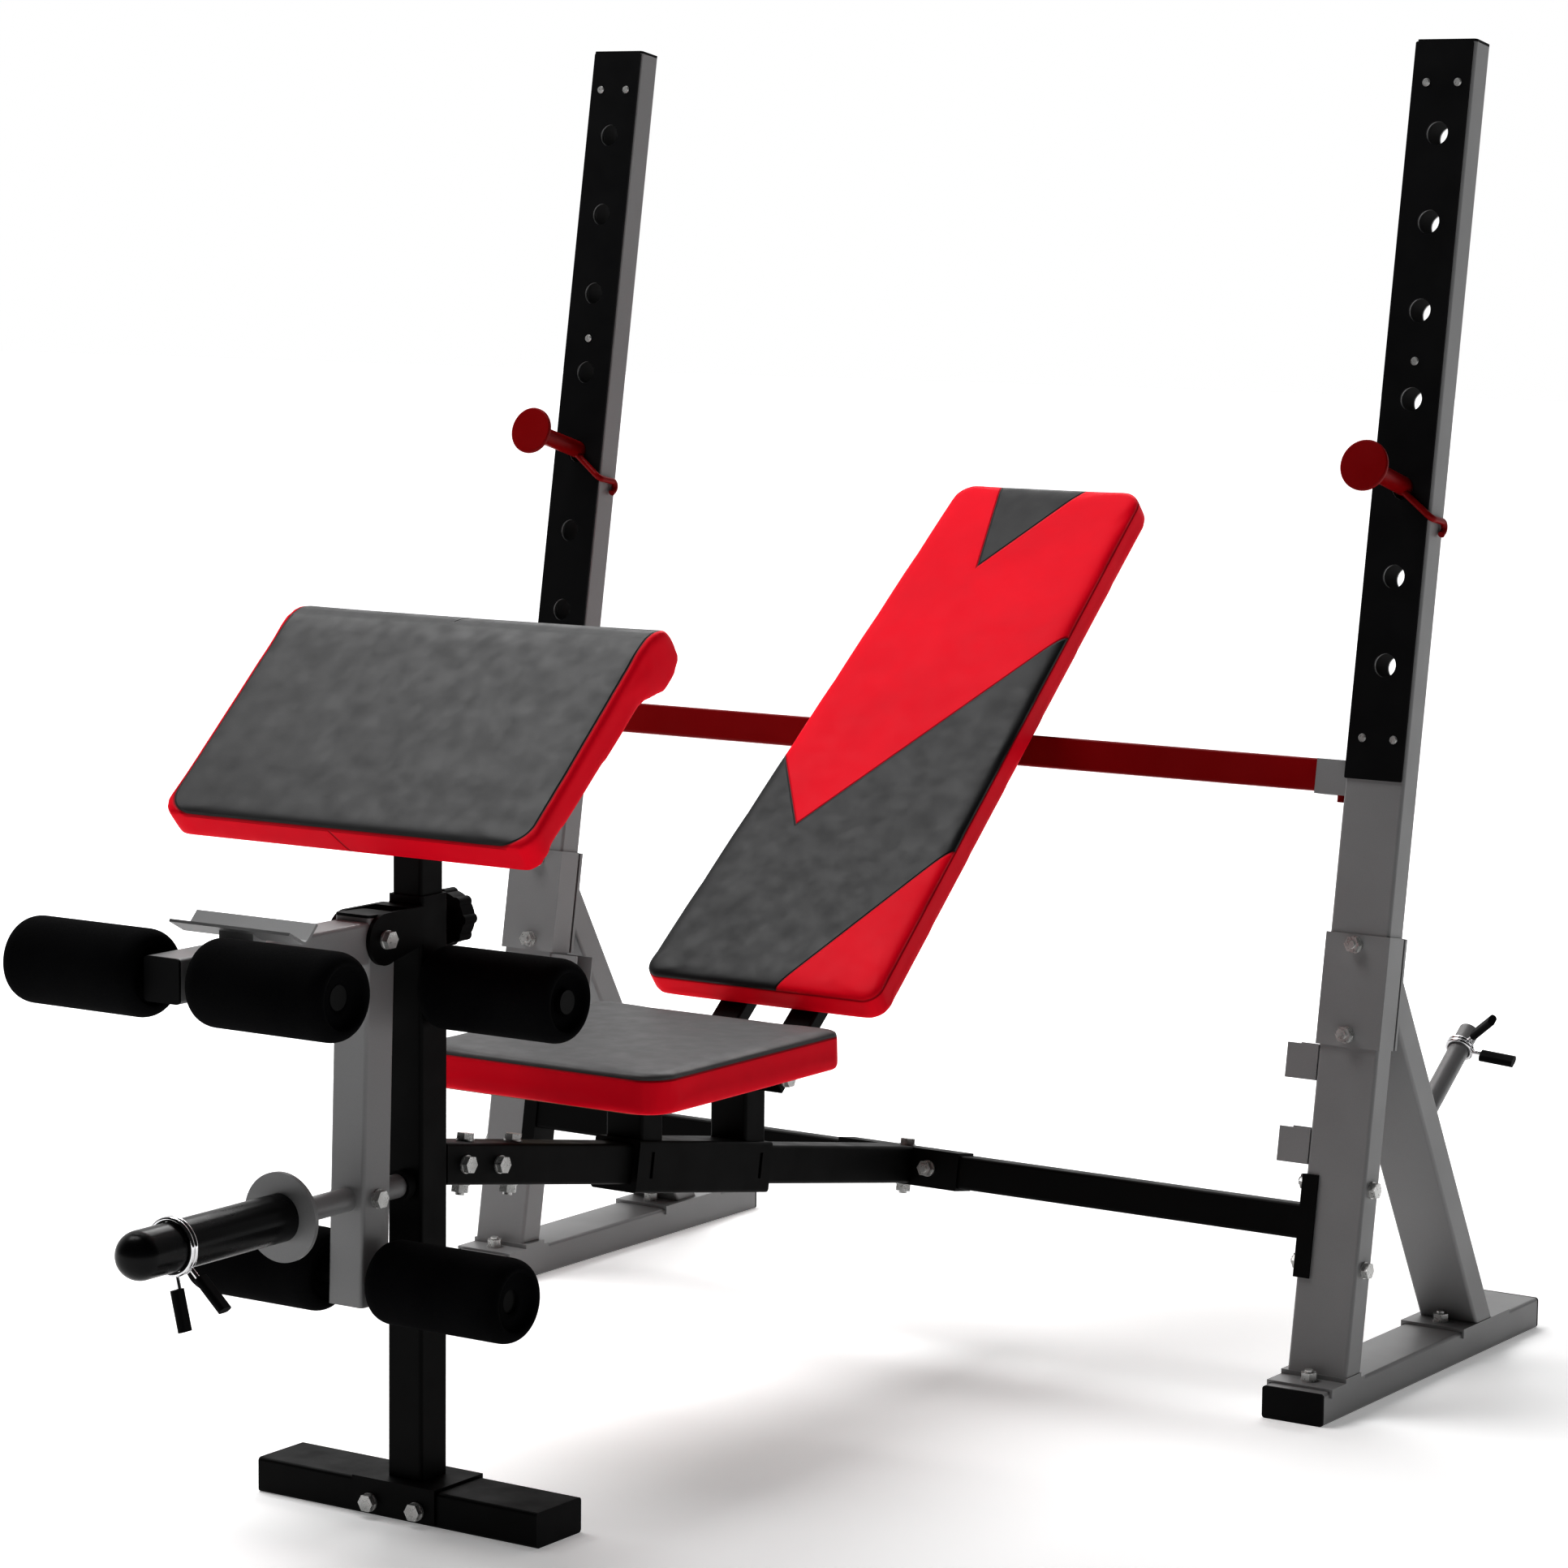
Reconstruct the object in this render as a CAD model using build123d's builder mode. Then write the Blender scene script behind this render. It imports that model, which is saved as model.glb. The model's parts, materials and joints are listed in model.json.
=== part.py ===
from build123d import *
import os
from math import cos, radians, sin, sqrt

# Olympic bench with a leaning rack, sliding seat, folding backrest, arm-curl pad
# and leg developer.  Millimetres, origin on the floor under the middle of the
# whole bench, +Z up, -Y towards the leg developer, +X to the side.

# ---- uprights ----
POST_FOOT_Y = 414.5      # where the front faces of the uprights meet the floor
LEAN = 9.24              # backward lean of the uprights, degrees
POST_X = 592.0
POST_WIDTH = 76.0
POST_DEPTH = 38.0
WALL = 2.5
POST_BASE = 46.0         # along the post, from the floor line
POST_JOINT = 489.5
POST_TOP = 1600.0
CAP_THICK = 3.0

# ---- perforated front plates ----
PLATE_START = 737.5
PLATE_WIDTH = 73.0
PLATE_THICK = 2.5
HOLE_R = 14.0
HOLE_PITCH = 103.55
HOOK_HEIGHT = 1078.3
HOLES_ABOVE = 4
HOLES_BELOW = 2
RIVET_PLACES = ((1552.0, -20.0), (1552.0, 20.0), (1226.0, 0.0), (785.5, -20.0), (785.5, 20.0))

# ---- splice between lower and upper post ----
SPLICE_BOTTOM = 427.0
SPLICE_TOP = 558.0
SPLICE_WALL = 3.0
SPLICE_BOLTS = (440.8, 545.7)

# ---- saddles that carry the backrest support bar ----
SADDLE_INNER = 514.0
SADDLE_TALL = 41.0
SADDLE_WALL = 3.0
SADDLE_FRONT = 4.0       # set back of the top saddle from the front of the post
SADDLE_DEPTH = 38.0
TOP_SADDLE = 717.0
LOWER_SADDLES = (384.0, 286.0)
BAR_TALL = 38.0
BAR_DEPTH = 31.6
BAR_HALF = 549.0
BAR_PIN_X = 541.0
BAR_PIN_R = 5.0
BAR_PIN_DROP = 8.0

# ---- rear feet and braces ----
FOOT_X = 589.0
FOOT_WIDTH = 78.0
FOOT_TALL = 38.0
REAR_FOOT_START = 371.5
REAR_FOOT_END = 956.5
BRACE_TILT = 30.92
BRACE_FOOT_Y = 794.5
BRACE_BOLTS_Y = (759.5, 846.5)
REAR_PLATE_THICK = 5.0
PEG_R = 12.5
PEG_Y = 671.5
PEG_Z = 296.0
PEG_RISE = 35.0
PEG_LENGTH = 170.0

# ---- cross beam and junction bracket ----
CROSS_BOTTOM = 199.0
CROSS_TALL = 40.0
CROSS_FRONT = -0.5
CROSS_DEPTH = 40.0
CROSS_HALF = 551.0
END_BRACKET_BOTTOM = 155.0
END_BRACKET_TOP = 275.0
END_BOLTS = (172.0, 265.0)
JUNCTION_HALF = 87.0
JUNCTION_WALL = 3.0

# ---- sloping main beam ----
BEAM_SLOPE = 9.57
BEAM_Y = 445.4
BEAM_Z = 218.3
BEAM_SIZE = 45.0
BEAM_LENGTH = 939.0
SIDE_BOLTS = (907.0, 847.0)
TOP_BOLTS = (883.0, 797.0)

# ---- front post, foot and curl-pad mast ----
FRONT_Y = -503.0
FRONT_FOOT_HALF = 183.3
FRONT_POST_TOP = 656.0
COLLAR_TALL = 8.0
SADDLE_PLATE_TOP = 41.0
MAST_SIZE = 38.0
MAST_BOTTOM = 585.0
KNOB_Z = 632.0
KNOB_R = 31.0

# ---- leg developer ----
PIVOT_Y = -590.5
PIVOT_Z = 628.0
PIVOT_R = 6.0
LEVER_RAKE = 1.8
LEVER_DOWN = 382.0
LEVER_UP = 23.0
ARM_Z = 624.8
ARM_END = -902.5
CRADLE_START = -80.0
CRADLE_END = 75.0
ROLLER_R = 44.0
ROLLER_LENGTH = 174.0
ROLLER_DISH_R = 30.0
ROLLER_DISH = 10.0
ROLLER_BAR_R = 12.5
ROLLER_BAR_HALF = 194.0
UPPER_ROLLER = (-882.5, 625.0, 8.0)
MIDDLE_ROLLER = (-503.0, 568.0, 0.0)
LOWER_ROLLER = (-601.6, 274.5, 0.0)
WEIGHT_Z = 358.0
WEIGHT_REAR = -537.5
WEIGHT_BOLT_Y = -599.0
FLANGE_FRONT = -728.0
FLANGE_R = 46.5
FLANGE_THICK = 5.0
SLEEVE_R = 25.0
SLEEVE_END = -963.5
SLEEVE_TIP = 18.0        # solid nose of the sleeve
SLEEVE_COLLAR_Y = -891.5

# ---- seat ----
CARRIAGE_REAR = 329.0
CARRIAGE_FRONT = 599.0
CARRIAGE_HALF = 31.0
CARRIAGE_WALL = 3.0
CARRIAGE_BELOW = 31.5
CARRIAGE_ABOVE = 27.5
SEAT_HALF = 168.0
SEAT_FRONT = -307.5
SEAT_REAR = 54.5
SEAT_BOTTOM = 410.0
SEAT_CROWN = 458.5
BOARD = 12.0
BOARD_INSET = 14.0
LEG_WIDTH = 50.0
LEG_DEPTH = 42.0
LEG_FRONT_Y = -109.5
LEG_REAR_Y = 97.5

# ---- backrest ----
BACK_Y = 133.4
BACK_Z = 485.0
BACK_TILT = 50.2         # degrees from vertical
BACK_LENGTH = 861.0
BACK_LOW_HALF = 160.5
BACK_TOP_HALF = 136.7
BACK_THICK = 41.3
RAIL_X = 50.0
RAIL_WIDTH = 38.0
RAIL_DEPTH = 20.0
RAIL_END = 700.0
BACK_PIVOT = -95.8       # along the backrest, from the bottom edge of the pad

# ---- arm-curl pad ----
CURL_Y = -634.4
CURL_Z = 745.1
CURL_TILT = 46.98
CURL_HALF = 243.3
CURL_PROFILE = ((0, 0), (302, 0), (311, 7), (319, 24), (318, 40), (307, 56), (289, 64),
                (266, 63), (237, 45), (227, 40.5), (30, 32), (-2, 39))
CURL_CORNER = 22.0
CURL_POCKET = (34.0, 219.0)      # along the pad, with how deep the board sits at each end
CURL_POCKET_DEEP = (16.4, 26.5)

# ---- fasteners and fits ----
BOLT_R = 5.0
HEX_AF = 17.0
HEAD_TALL = 6.4
NUT_TALL = 8.0
WASHER_R = 10.0
WASHER_THICK = 2.0
RUN_FIT = 0.05
SLIDE_FIT = 0.35
WIRE_R = 2.6
GRIP_WIDTH = 16.0
GRIP_THICK = 9.0
GRIP_SHIFT = 3.0
SLEEVE_GRIP_ANGLES = (-42.0, -76.0)
PEG_GRIP_ANGLES = (6.0, -43.0)

S, C = sin(radians(LEAN)), cos(radians(LEAN))
SB, CB = sin(radians(BEAM_SLOPE)), cos(radians(BEAM_SLOPE))
SR, CR = sin(radians(LEVER_RAKE)), cos(radians(LEVER_RAKE))
SP, CP = sin(radians(PEG_RISE)), cos(radians(PEG_RISE))
ST, CT = sin(radians(BRACE_TILT)), cos(radians(BRACE_TILT))
SK, CK = sin(radians(BACK_TILT)), cos(radians(BACK_TILT))
SQ, CQ = sin(radians(CURL_TILT)), cos(radians(CURL_TILT))

POST_ORIGIN = (0, POST_FOOT_Y, 0)
BEAM_ORIGIN = (0, BEAM_Y, BEAM_Z)
PIVOT = (0, PIVOT_Y, PIVOT_Z)
POST = Plane(POST_ORIGIN, x_dir=(1, 0, 0), z_dir=(0, S, C))
POST_FACE = Plane(POST_ORIGIN, x_dir=(1, 0, 0), z_dir=(0, -C, S))
POST_SIDE = Plane(POST_ORIGIN, x_dir=(0, C, -S), z_dir=(1, 0, 0))
BEAM = Plane(BEAM_ORIGIN, x_dir=(1, 0, 0), z_dir=(0, -CB, SB))
BEAM_FLAT = Plane(BEAM_ORIGIN, x_dir=(1, 0, 0), z_dir=(0, SB, CB))
BEAM_SIDE = Plane(BEAM_ORIGIN, x_dir=(0, -CB, SB), z_dir=(-1, 0, 0))
LEVER = Plane(PIVOT, x_dir=(1, 0, 0), z_dir=(0, SR, CR))
LEVER_FACE = Plane(PIVOT, x_dir=(1, 0, 0), z_dir=(0, -CR, SR))
BACK = Plane((0, BACK_Y, BACK_Z), x_dir=(1, 0, 0), z_dir=(0, -CK, SK))
BACK_SIDE = Plane((0, BACK_Y, BACK_Z), x_dir=(0, SK, CK), z_dir=(-1, 0, 0))
CURL_SIDE = Plane((0, CURL_Y, CURL_Z), x_dir=(0, SQ, CQ), z_dir=(-1, 0, 0))
CURL_FACE = Plane((0, CURL_Y, CURL_Z), x_dir=(1, 0, 0), z_dir=(0, -CQ, SQ))
PIVOT_BACK = (0, BACK_Y + BACK_PIVOT * SK + (BACK_THICK + RAIL_DEPTH / 2) * CK,
              BACK_Z + BACK_PIVOT * CK - (BACK_THICK + RAIL_DEPTH / 2) * SK)


# ---- helpers: each adds to the sketch or solid being built ----
def tube_section(width, depth, wall, corner=4.0):
    RectangleRounded(width, depth, corner)
    RectangleRounded(width - 2 * wall, depth - 2 * wall, corner - wall + 0.5, mode=Mode.SUBTRACT)


def block(plane, x, y, width, depth, tall, mode=Mode.ADD):
    with BuildSketch(plane) as base:
        with Locations((x, y)):
            Rectangle(width, depth)
    extrude(base.sketch, amount=tall, mode=mode)


def rod(plane, x, y, radius, length, mode=Mode.ADD):
    with BuildSketch(plane) as base:
        with Locations((x, y)):
            Circle(radius)
    extrude(base.sketch, amount=length, mode=mode)


def drill(plane, x, y, radius, reach):
    with BuildSketch(plane) as base:
        with Locations((x, y)):
            Circle(radius)
    extrude(base.sketch, amount=reach, both=True, mode=Mode.SUBTRACT)


def hexagon(plane, x, y, tall, bore=0):
    with BuildSketch(plane) as base:
        with Locations((x, y)):
            RegularPolygon(HEX_AF / sqrt(3), 6)
            if bore:
                Circle(bore, mode=Mode.SUBTRACT)
    extrude(base.sketch, amount=tall)


def bolt(plane, x, y, length):
    """Washer and hex head on the plane, shank running back through it."""
    rod(plane, x, y, WASHER_R, WASHER_THICK)
    hexagon(plane.offset(WASHER_THICK), x, y, HEAD_TALL)
    rod(plane, x, y, BOLT_R, -length)


def nut(plane, x, y):
    with BuildSketch(plane) as washer:
        with Locations((x, y)):
            Circle(WASHER_R)
            Circle(BOLT_R, mode=Mode.SUBTRACT)
    extrude(washer.sketch, amount=WASHER_THICK)
    hexagon(plane.offset(WASHER_THICK), x, y, NUT_TALL, BOLT_R)


def across(x, normal=1):
    """Vertical plane at x whose sketch x is +Y * normal and whose sketch y is +Z."""
    return Plane((x, 0, 0), x_dir=(0, normal, 0), z_dir=(normal, 0, 0))


def upright_face(y, normal=-1):
    """Vertical plane at y; its normal is -Y (normal=-1) or +Y (normal=1)."""
    return Plane((0, y, 0), x_dir=(-normal, 0, 0), z_dir=(0, normal, 0))


def save(builder, name):
    builder.part.label = name
    export_step(builder.part, "parts/" + name + ".step")


# ---- rack ----
def post_saddle(side, height, front):
    """Open-topped seat for the support bar, welded to the inner face of a post."""
    middle = front + SADDLE_DEPTH / 2
    reach = side * (POST_X - POST_WIDTH / 2 - SADDLE_INNER)
    plane = Plane((side * SADDLE_INNER, POST_FOOT_Y, 0), x_dir=(0, C, -S), z_dir=(1, 0, 0))
    with BuildSketch(plane) as profile:
        with Locations((middle, height + SADDLE_TALL / 2)):
            Rectangle(SADDLE_DEPTH, SADDLE_TALL)
        with Locations((middle, height + SADDLE_WALL + SADDLE_TALL / 2)):
            Rectangle(SADDLE_DEPTH - 2 * SADDLE_WALL, SADDLE_TALL, mode=Mode.SUBTRACT)
    extrude(profile.sketch, amount=reach)
    drill(POST.offset(height), side * BAR_PIN_X, middle, BAR_PIN_R + RUN_FIT, SADDLE_WALL * 2)


def hook_hole_heights():
    return [HOOK_HEIGHT + HOLE_PITCH * i for i in range(-HOLES_BELOW, HOLES_ABOVE + 1)]


def lower_post(side, name):
    with BuildPart() as post:
        with BuildSketch(POST.offset(POST_BASE)):
            with Locations((side * POST_X, POST_DEPTH / 2)):
                tube_section(POST_WIDTH, POST_DEPTH, WALL)
        extrude(amount=POST_JOINT - POST_BASE)
        # sleeve that the upper post drops into, open at the rear
        with BuildSketch(POST.offset(SPLICE_BOTTOM)):
            with Locations((side * POST_X, 17 - SPLICE_WALL / 2)):
                Rectangle(POST_WIDTH + 2 * SPLICE_WALL, 34 + SPLICE_WALL)
            with Locations((side * POST_X, POST_DEPTH / 2)):
                Rectangle(POST_WIDTH, POST_DEPTH, mode=Mode.SUBTRACT)
        extrude(amount=SPLICE_TOP - SPLICE_BOTTOM)
        for height in LOWER_SADDLES:
            post_saddle(side, height, 0)
        # folded base plate that straddles the foot
        block(Plane.XY.offset(FOOT_TALL), side * FOOT_X, 427.5, FOOT_WIDTH + 6, 84, 8.5)
        block(Plane.XY.offset(FOOT_TALL + 3), side * FOOT_X, 403, FOOT_WIDTH + 8, 36, 8,
              mode=Mode.SUBTRACT)
        block(Plane.XY.offset(FOOT_TALL + 3), side * FOOT_X, 465.5, FOOT_WIDTH + 8, 12, 8,
              mode=Mode.SUBTRACT)
        for edge in (-1, 1):
            block(Plane.XY.offset(30.6), side * FOOT_X + edge * (FOOT_WIDTH / 2 + 1.5), 427.5,
                  3, 84, FOOT_TALL + 3 - 30.6)
        drill(Plane.XY, side * FOOT_X, 408.5, BOLT_R + RUN_FIT, 60)
        for height in SPLICE_BOLTS:
            drill(POST_FACE, side * FOOT_X, height, BOLT_R + RUN_FIT, 60)
        for height in END_BOLTS:
            drill(POST_SIDE, POST_DEPTH / 2, height, BOLT_R + RUN_FIT, 700)
    save(post, name)


def upper_post(side, name):
    with BuildPart() as post:
        with BuildSketch(POST.offset(POST_JOINT)):
            with Locations((side * POST_X, POST_DEPTH / 2)):
                tube_section(POST_WIDTH, POST_DEPTH, WALL)
        extrude(amount=POST_TOP - POST_JOINT)
        post_saddle(side, TOP_SADDLE, SADDLE_FRONT)
        drill(POST_FACE, side * FOOT_X, SPLICE_BOLTS[1], BOLT_R + RUN_FIT, 60)
        for height in hook_hole_heights():
            drill(POST_FACE, side * POST_X, height, HOLE_R, 60)
        for height, shift in RIVET_PLACES:
            drill(POST_FACE, side * POST_X + shift, height, 2.4, 3)
    save(post, name)


def front_plates():
    with BuildPart() as plates:
        for side in (-1, 1):
            with BuildSketch(POST_FACE):
                with Locations((side * (POST_X - 1.5), (PLATE_START + POST_TOP) / 2)):
                    RectangleRounded(PLATE_WIDTH, POST_TOP - PLATE_START, 2)
                with Locations([(side * POST_X, h) for h in hook_hole_heights()]):
                    Circle(HOLE_R, mode=Mode.SUBTRACT)
                with Locations([(side * POST_X + dx, h) for h, dx in RIVET_PLACES]):
                    Circle(2.4, mode=Mode.SUBTRACT)
            extrude(amount=PLATE_THICK)
    save(plates, "front_plates")


def plate_rivets():
    with BuildPart() as rivets:
        for side in (-1, 1):
            for height, shift in RIVET_PLACES:
                rod(POST_FACE.offset(PLATE_THICK), side * POST_X + shift, height, 2.4, -6)
                with BuildSketch(POST_FACE.offset(PLATE_THICK)):
                    with Locations((side * POST_X + shift, height)):
                        Circle(5)
                extrude(amount=1.8, taper=30)
    save(rivets, "plate_rivets")


def post_caps():
    with BuildPart() as caps:
        for side in (-1, 1):
            with BuildSketch(POST.offset(POST_TOP)):
                with Locations((side * POST_X, POST_DEPTH / 2)):
                    RectangleRounded(POST_WIDTH, POST_DEPTH, 4)
            extrude(amount=CAP_THICK)
            with BuildSketch(POST.offset(POST_TOP)):
                with Locations((side * POST_X, POST_DEPTH / 2)):
                    Rectangle(POST_WIDTH - 2 * WALL - 3, POST_DEPTH - 2 * WALL - 3)
            extrude(amount=-18)
    save(caps, "post_caps")


def support_bar():
    middle = SADDLE_FRONT + SADDLE_DEPTH / 2
    centre = TOP_SADDLE + SADDLE_WALL + BAR_TALL / 2
    plane = Plane((-BAR_HALF, POST_FOOT_Y, 0), x_dir=(0, C, -S), z_dir=(1, 0, 0))
    with BuildPart() as bar:
        with BuildSketch(plane):
            with Locations((middle, centre)):
                tube_section(BAR_DEPTH, BAR_TALL, WALL, 3)
        extrude(amount=2 * BAR_HALF)
        # locating pegs under the bar, through the floors of the saddles
        for side in (-1, 1):
            rod(POST.offset(centre - BAR_TALL / 2 + 1), side * BAR_PIN_X, middle, BAR_PIN_R,
                -(1 + SADDLE_WALL + BAR_PIN_DROP))
    save(bar, "support_bar")


def hook_pin(side, name):
    """Bar rest: a tilted pin with an end disc and a spring-wire keeper."""
    tilt = 6.2
    angle = radians(LEAN + tilt)
    at_face = (side * POST_X, POST_FOOT_Y + HOOK_HEIGHT * S + POST_DEPTH / 2 * C,
               HOOK_HEIGHT * C - POST_DEPTH / 2 * S)
    axis = Plane(at_face, x_dir=(1, 0, 0), z_dir=(0, -cos(angle), sin(angle)))
    front = -PLATE_THICK - 0.6 - 4.0
    beside = POST_X + POST_WIDTH / 2 + 4.6
    side_x = side * POST_X + beside - POST_X
    path_points = [POST.from_local_coords((side * POST_X + 3, front, HOOK_HEIGHT - 4)),
                   POST.from_local_coords((side_x, front, HOOK_HEIGHT - 34)),
                   POST.from_local_coords((side_x, POST_DEPTH + 4, HOOK_HEIGHT - 35)),
                   POST.from_local_coords((side_x, POST_DEPTH - 14, HOOK_HEIGHT - 50))]
    with BuildPart() as pin:
        rod(axis, 0, 0, 11, 122)
        rod(axis, 0, 0, 11, -32)
        rod(axis.offset(122), 0, 0, 29.7, 6)
        disc_edges = pin.edges().filter_by(GeomType.CIRCLE).filter_by(lambda e: e.radius > 29)
        fillet(disc_edges, 2)
        with BuildLine() as wire:
            FilletPolyline(*path_points, radius=7)
        with BuildSketch(Plane(wire.line @ 0, z_dir=wire.line % 0)):
            Circle(4)
        sweep(path=wire.line)
    save(pin, name)


# ---- rear base ----
def rear_foot(side, name):
    with BuildPart() as foot:
        with BuildSketch(upright_face(REAR_FOOT_START, 1)):
            with Locations((-side * FOOT_X, FOOT_TALL / 2)):
                tube_section(FOOT_WIDTH, FOOT_TALL, WALL)
        extrude(amount=REAR_FOOT_END - REAR_FOOT_START)
        for y in (408.5,) + BRACE_BOLTS_Y:
            drill(Plane.XY.offset(FOOT_TALL), side * FOOT_X, y, BOLT_R + RUN_FIT, 10)
    save(foot, name)


def cap_pair(plane, x, y):
    """End cap: a full-section flange outside and a plug inside the tube."""
    with BuildSketch(plane) as flange:
        with Locations((x, y)):
            RectangleRounded(FOOT_WIDTH, FOOT_TALL, 4)
    extrude(flange.sketch, amount=CAP_THICK)
    block(plane, x, y, FOOT_WIDTH - 2 * WALL - 3, FOOT_TALL - 2 * WALL - 3, -18)


def foot_caps():
    with BuildPart() as caps:
        for side in (-1, 1):
            cap_pair(upright_face(REAR_FOOT_START, -1), side * FOOT_X, FOOT_TALL / 2)
            cap_pair(upright_face(REAR_FOOT_END, 1), side * FOOT_X, FOOT_TALL / 2)
            cap_pair(across(side * FRONT_FOOT_HALF, side), side * FRONT_Y, FOOT_TALL / 2)
    save(caps, "foot_caps")


def brace(side, name):
    tilted = Plane((0, BRACE_FOOT_Y, 45), x_dir=(1, 0, 0), z_dir=(0, -ST, CT))
    peg = Plane((side * POST_X, PEG_Y, PEG_Z), x_dir=(1, 0, 0), z_dir=(0, CP, SP))
    rear_face = POST_FACE.offset(-POST_DEPTH - REAR_PLATE_THICK)
    with BuildPart() as leg:
        with BuildSketch(tilted.offset(-80)):
            with Locations((side * POST_X, 0)):
                tube_section(POST_WIDTH, POST_DEPTH, WALL)
        extrude(amount=680)
        split(bisect_by=Plane.XY.offset(FOOT_TALL + 2), keep=Keep.TOP)
        split(bisect_by=rear_face, keep=Keep.BOTTOM)
        block(rear_face, side * POST_X, (SPLICE_BOTTOM + SPLICE_TOP) / 2, POST_WIDTH + 6,
              SPLICE_TOP - SPLICE_BOTTOM - 1, REAR_PLATE_THICK)
        block(Plane.XY.offset(FOOT_TALL), side * FOOT_X, 801.5, FOOT_WIDTH + 6, 130, 4)
        for edge in (-1, 1):
            block(Plane.XY.offset(30.6), side * FOOT_X + edge * (FOOT_WIDTH / 2 + 1.5), 801.5,
                  3, 130, FOOT_TALL + 4 - 30.6)
        if side > 0:
            rod(peg.offset(-9), 0, 0, PEG_R, PEG_LENGTH + 9)
        for y in BRACE_BOLTS_Y:
            drill(Plane.XY.offset(FOOT_TALL), side * FOOT_X, y, BOLT_R + RUN_FIT, 8)
        for height in SPLICE_BOLTS:
            drill(rear_face, side * FOOT_X, height, BOLT_R + RUN_FIT, 8)
    save(leg, name)


def collar_leg(plane, loop_r, step, angle, start, length):
    """Plane at one end of a collar leg, facing outwards, and how long the leg is."""
    place = plane.offset(step * (WIRE_R - 0.2))
    out = (cos(radians(angle)), sin(radians(angle)), 0)
    origin = place.from_local_coords((out[0] * (loop_r + start), out[1] * (loop_r + start), 0))
    away = place.from_local_coords(out) - place.origin
    return Plane(origin, x_dir=place.z_dir, z_dir=away), length


def collar_wire(plane, inner_radius, angles, name):
    """Spring collar: two wire loops, each with a straight end that carries a grip."""
    loop_r = inner_radius + WIRE_R
    with BuildPart() as collar:
        for step, angle in zip((-1, 1), angles):
            place = plane.offset(step * (WIRE_R - 0.2))
            with BuildSketch(Plane(place.origin, x_dir=place.z_dir, z_dir=place.x_dir)):
                with Locations((0, loop_r)):
                    Circle(WIRE_R)
            revolve(axis=Axis(place.origin, place.z_dir), revolution_arc=360)
            leg, length = collar_leg(plane, loop_r, step, angle, 0, 32)
            rod(leg, 0, 0, WIRE_R, length)
    save(collar, name)


def collar_grips(plane, inner_radius, angles, name):
    """Flat moulded grips pushed over the ends of a spring collar."""
    loop_r = inner_radius + WIRE_R
    with BuildPart() as grips:
        for step, angle in zip((-1, 1), angles):
            leg, length = collar_leg(plane, loop_r, step, angle, 14, 42)
            with BuildSketch(leg) as section:
                with Locations((step * GRIP_SHIFT, 0)):
                    RectangleRounded(GRIP_WIDTH, GRIP_THICK, GRIP_THICK / 2 - 0.2)
            extrude(section.sketch, amount=length)
            with BuildSketch(leg) as bore:
                Circle(WIRE_R)
            extrude(bore.sketch, amount=18, mode=Mode.SUBTRACT)
    save(grips, name)


# ---- cross beam and main beam ----
def cross_beam():
    height = (END_BRACKET_BOTTOM + END_BRACKET_TOP) / 2
    tall = END_BRACKET_TOP - END_BRACKET_BOTTOM
    inner = POST_X - POST_WIDTH / 2
    with BuildPart() as beam:
        with BuildSketch(Plane((-CROSS_HALF, POST_FOOT_Y, 0), x_dir=(0, C, -S),
                               z_dir=(1, 0, 0))):
            with Locations((CROSS_FRONT + CROSS_DEPTH / 2, CROSS_BOTTOM + CROSS_TALL / 2)):
                tube_section(CROSS_DEPTH, CROSS_TALL, WALL)
        extrude(amount=2 * CROSS_HALF)
        for side in (-1, 1):
            with BuildSketch(POST.offset(END_BRACKET_BOTTOM)):
                with Locations((side * (inner - 3 + 10), POST_DEPTH / 2)):
                    Rectangle(20, POST_DEPTH + 6)
                with Locations((side * (inner + 20), POST_DEPTH / 2)):
                    Rectangle(40, POST_DEPTH, mode=Mode.SUBTRACT)
            extrude(amount=tall)
            for bolt_height in END_BOLTS:
                drill(POST_SIDE.offset(side * inner), POST_DEPTH / 2, bolt_height,
                      BOLT_R + RUN_FIT, 8)
            drill(POST_FACE, side * 45, CROSS_BOTTOM + CROSS_TALL / 2, BOLT_R + RUN_FIT, 60)
        drill(POST.offset(CROSS_BOTTOM), 0, 18, BOLT_R + RUN_FIT, 60)
    save(beam, "cross_beam")


def main_beam():
    front = CROSS_FRONT - JUNCTION_WALL
    low = CROSS_BOTTOM - JUNCTION_WALL
    tall = CROSS_TALL + 2 * JUNCTION_WALL
    with BuildPart() as beam:
        with BuildSketch(BEAM.offset(-12)):
            tube_section(BEAM_SIZE, BEAM_SIZE, WALL)
        extrude(amount=BEAM_LENGTH + 30)
        split(bisect_by=POST_FACE.offset(-front), keep=Keep.TOP)
        split(bisect_by=upright_face(FRONT_Y + BEAM_SIZE / 2, 1), keep=Keep.TOP)
        block(POST_FACE.offset(-CROSS_FRONT), 0, low + tall / 2, 2 * JUNCTION_HALF, tall,
              JUNCTION_WALL)
        for height in (low, low + tall - JUNCTION_WALL):
            block(POST.offset(height), 0, (front + 32) / 2, 2 * JUNCTION_HALF, 32 - front,
                  JUNCTION_WALL)
        drill(POST.offset(CROSS_BOTTOM), 0, 18, BOLT_R + RUN_FIT, 80)
        for side in (-1, 1):
            drill(POST_FACE, side * 45, CROSS_BOTTOM + CROSS_TALL / 2, BOLT_R + RUN_FIT, 12)
        for along in SIDE_BOLTS:
            drill(BEAM_SIDE, along, 0, BOLT_R + RUN_FIT, 60)
        for along in TOP_BOLTS:
            drill(BEAM_FLAT, 0, -along, BOLT_R + RUN_FIT, 60)
    save(beam, "main_beam")


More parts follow.
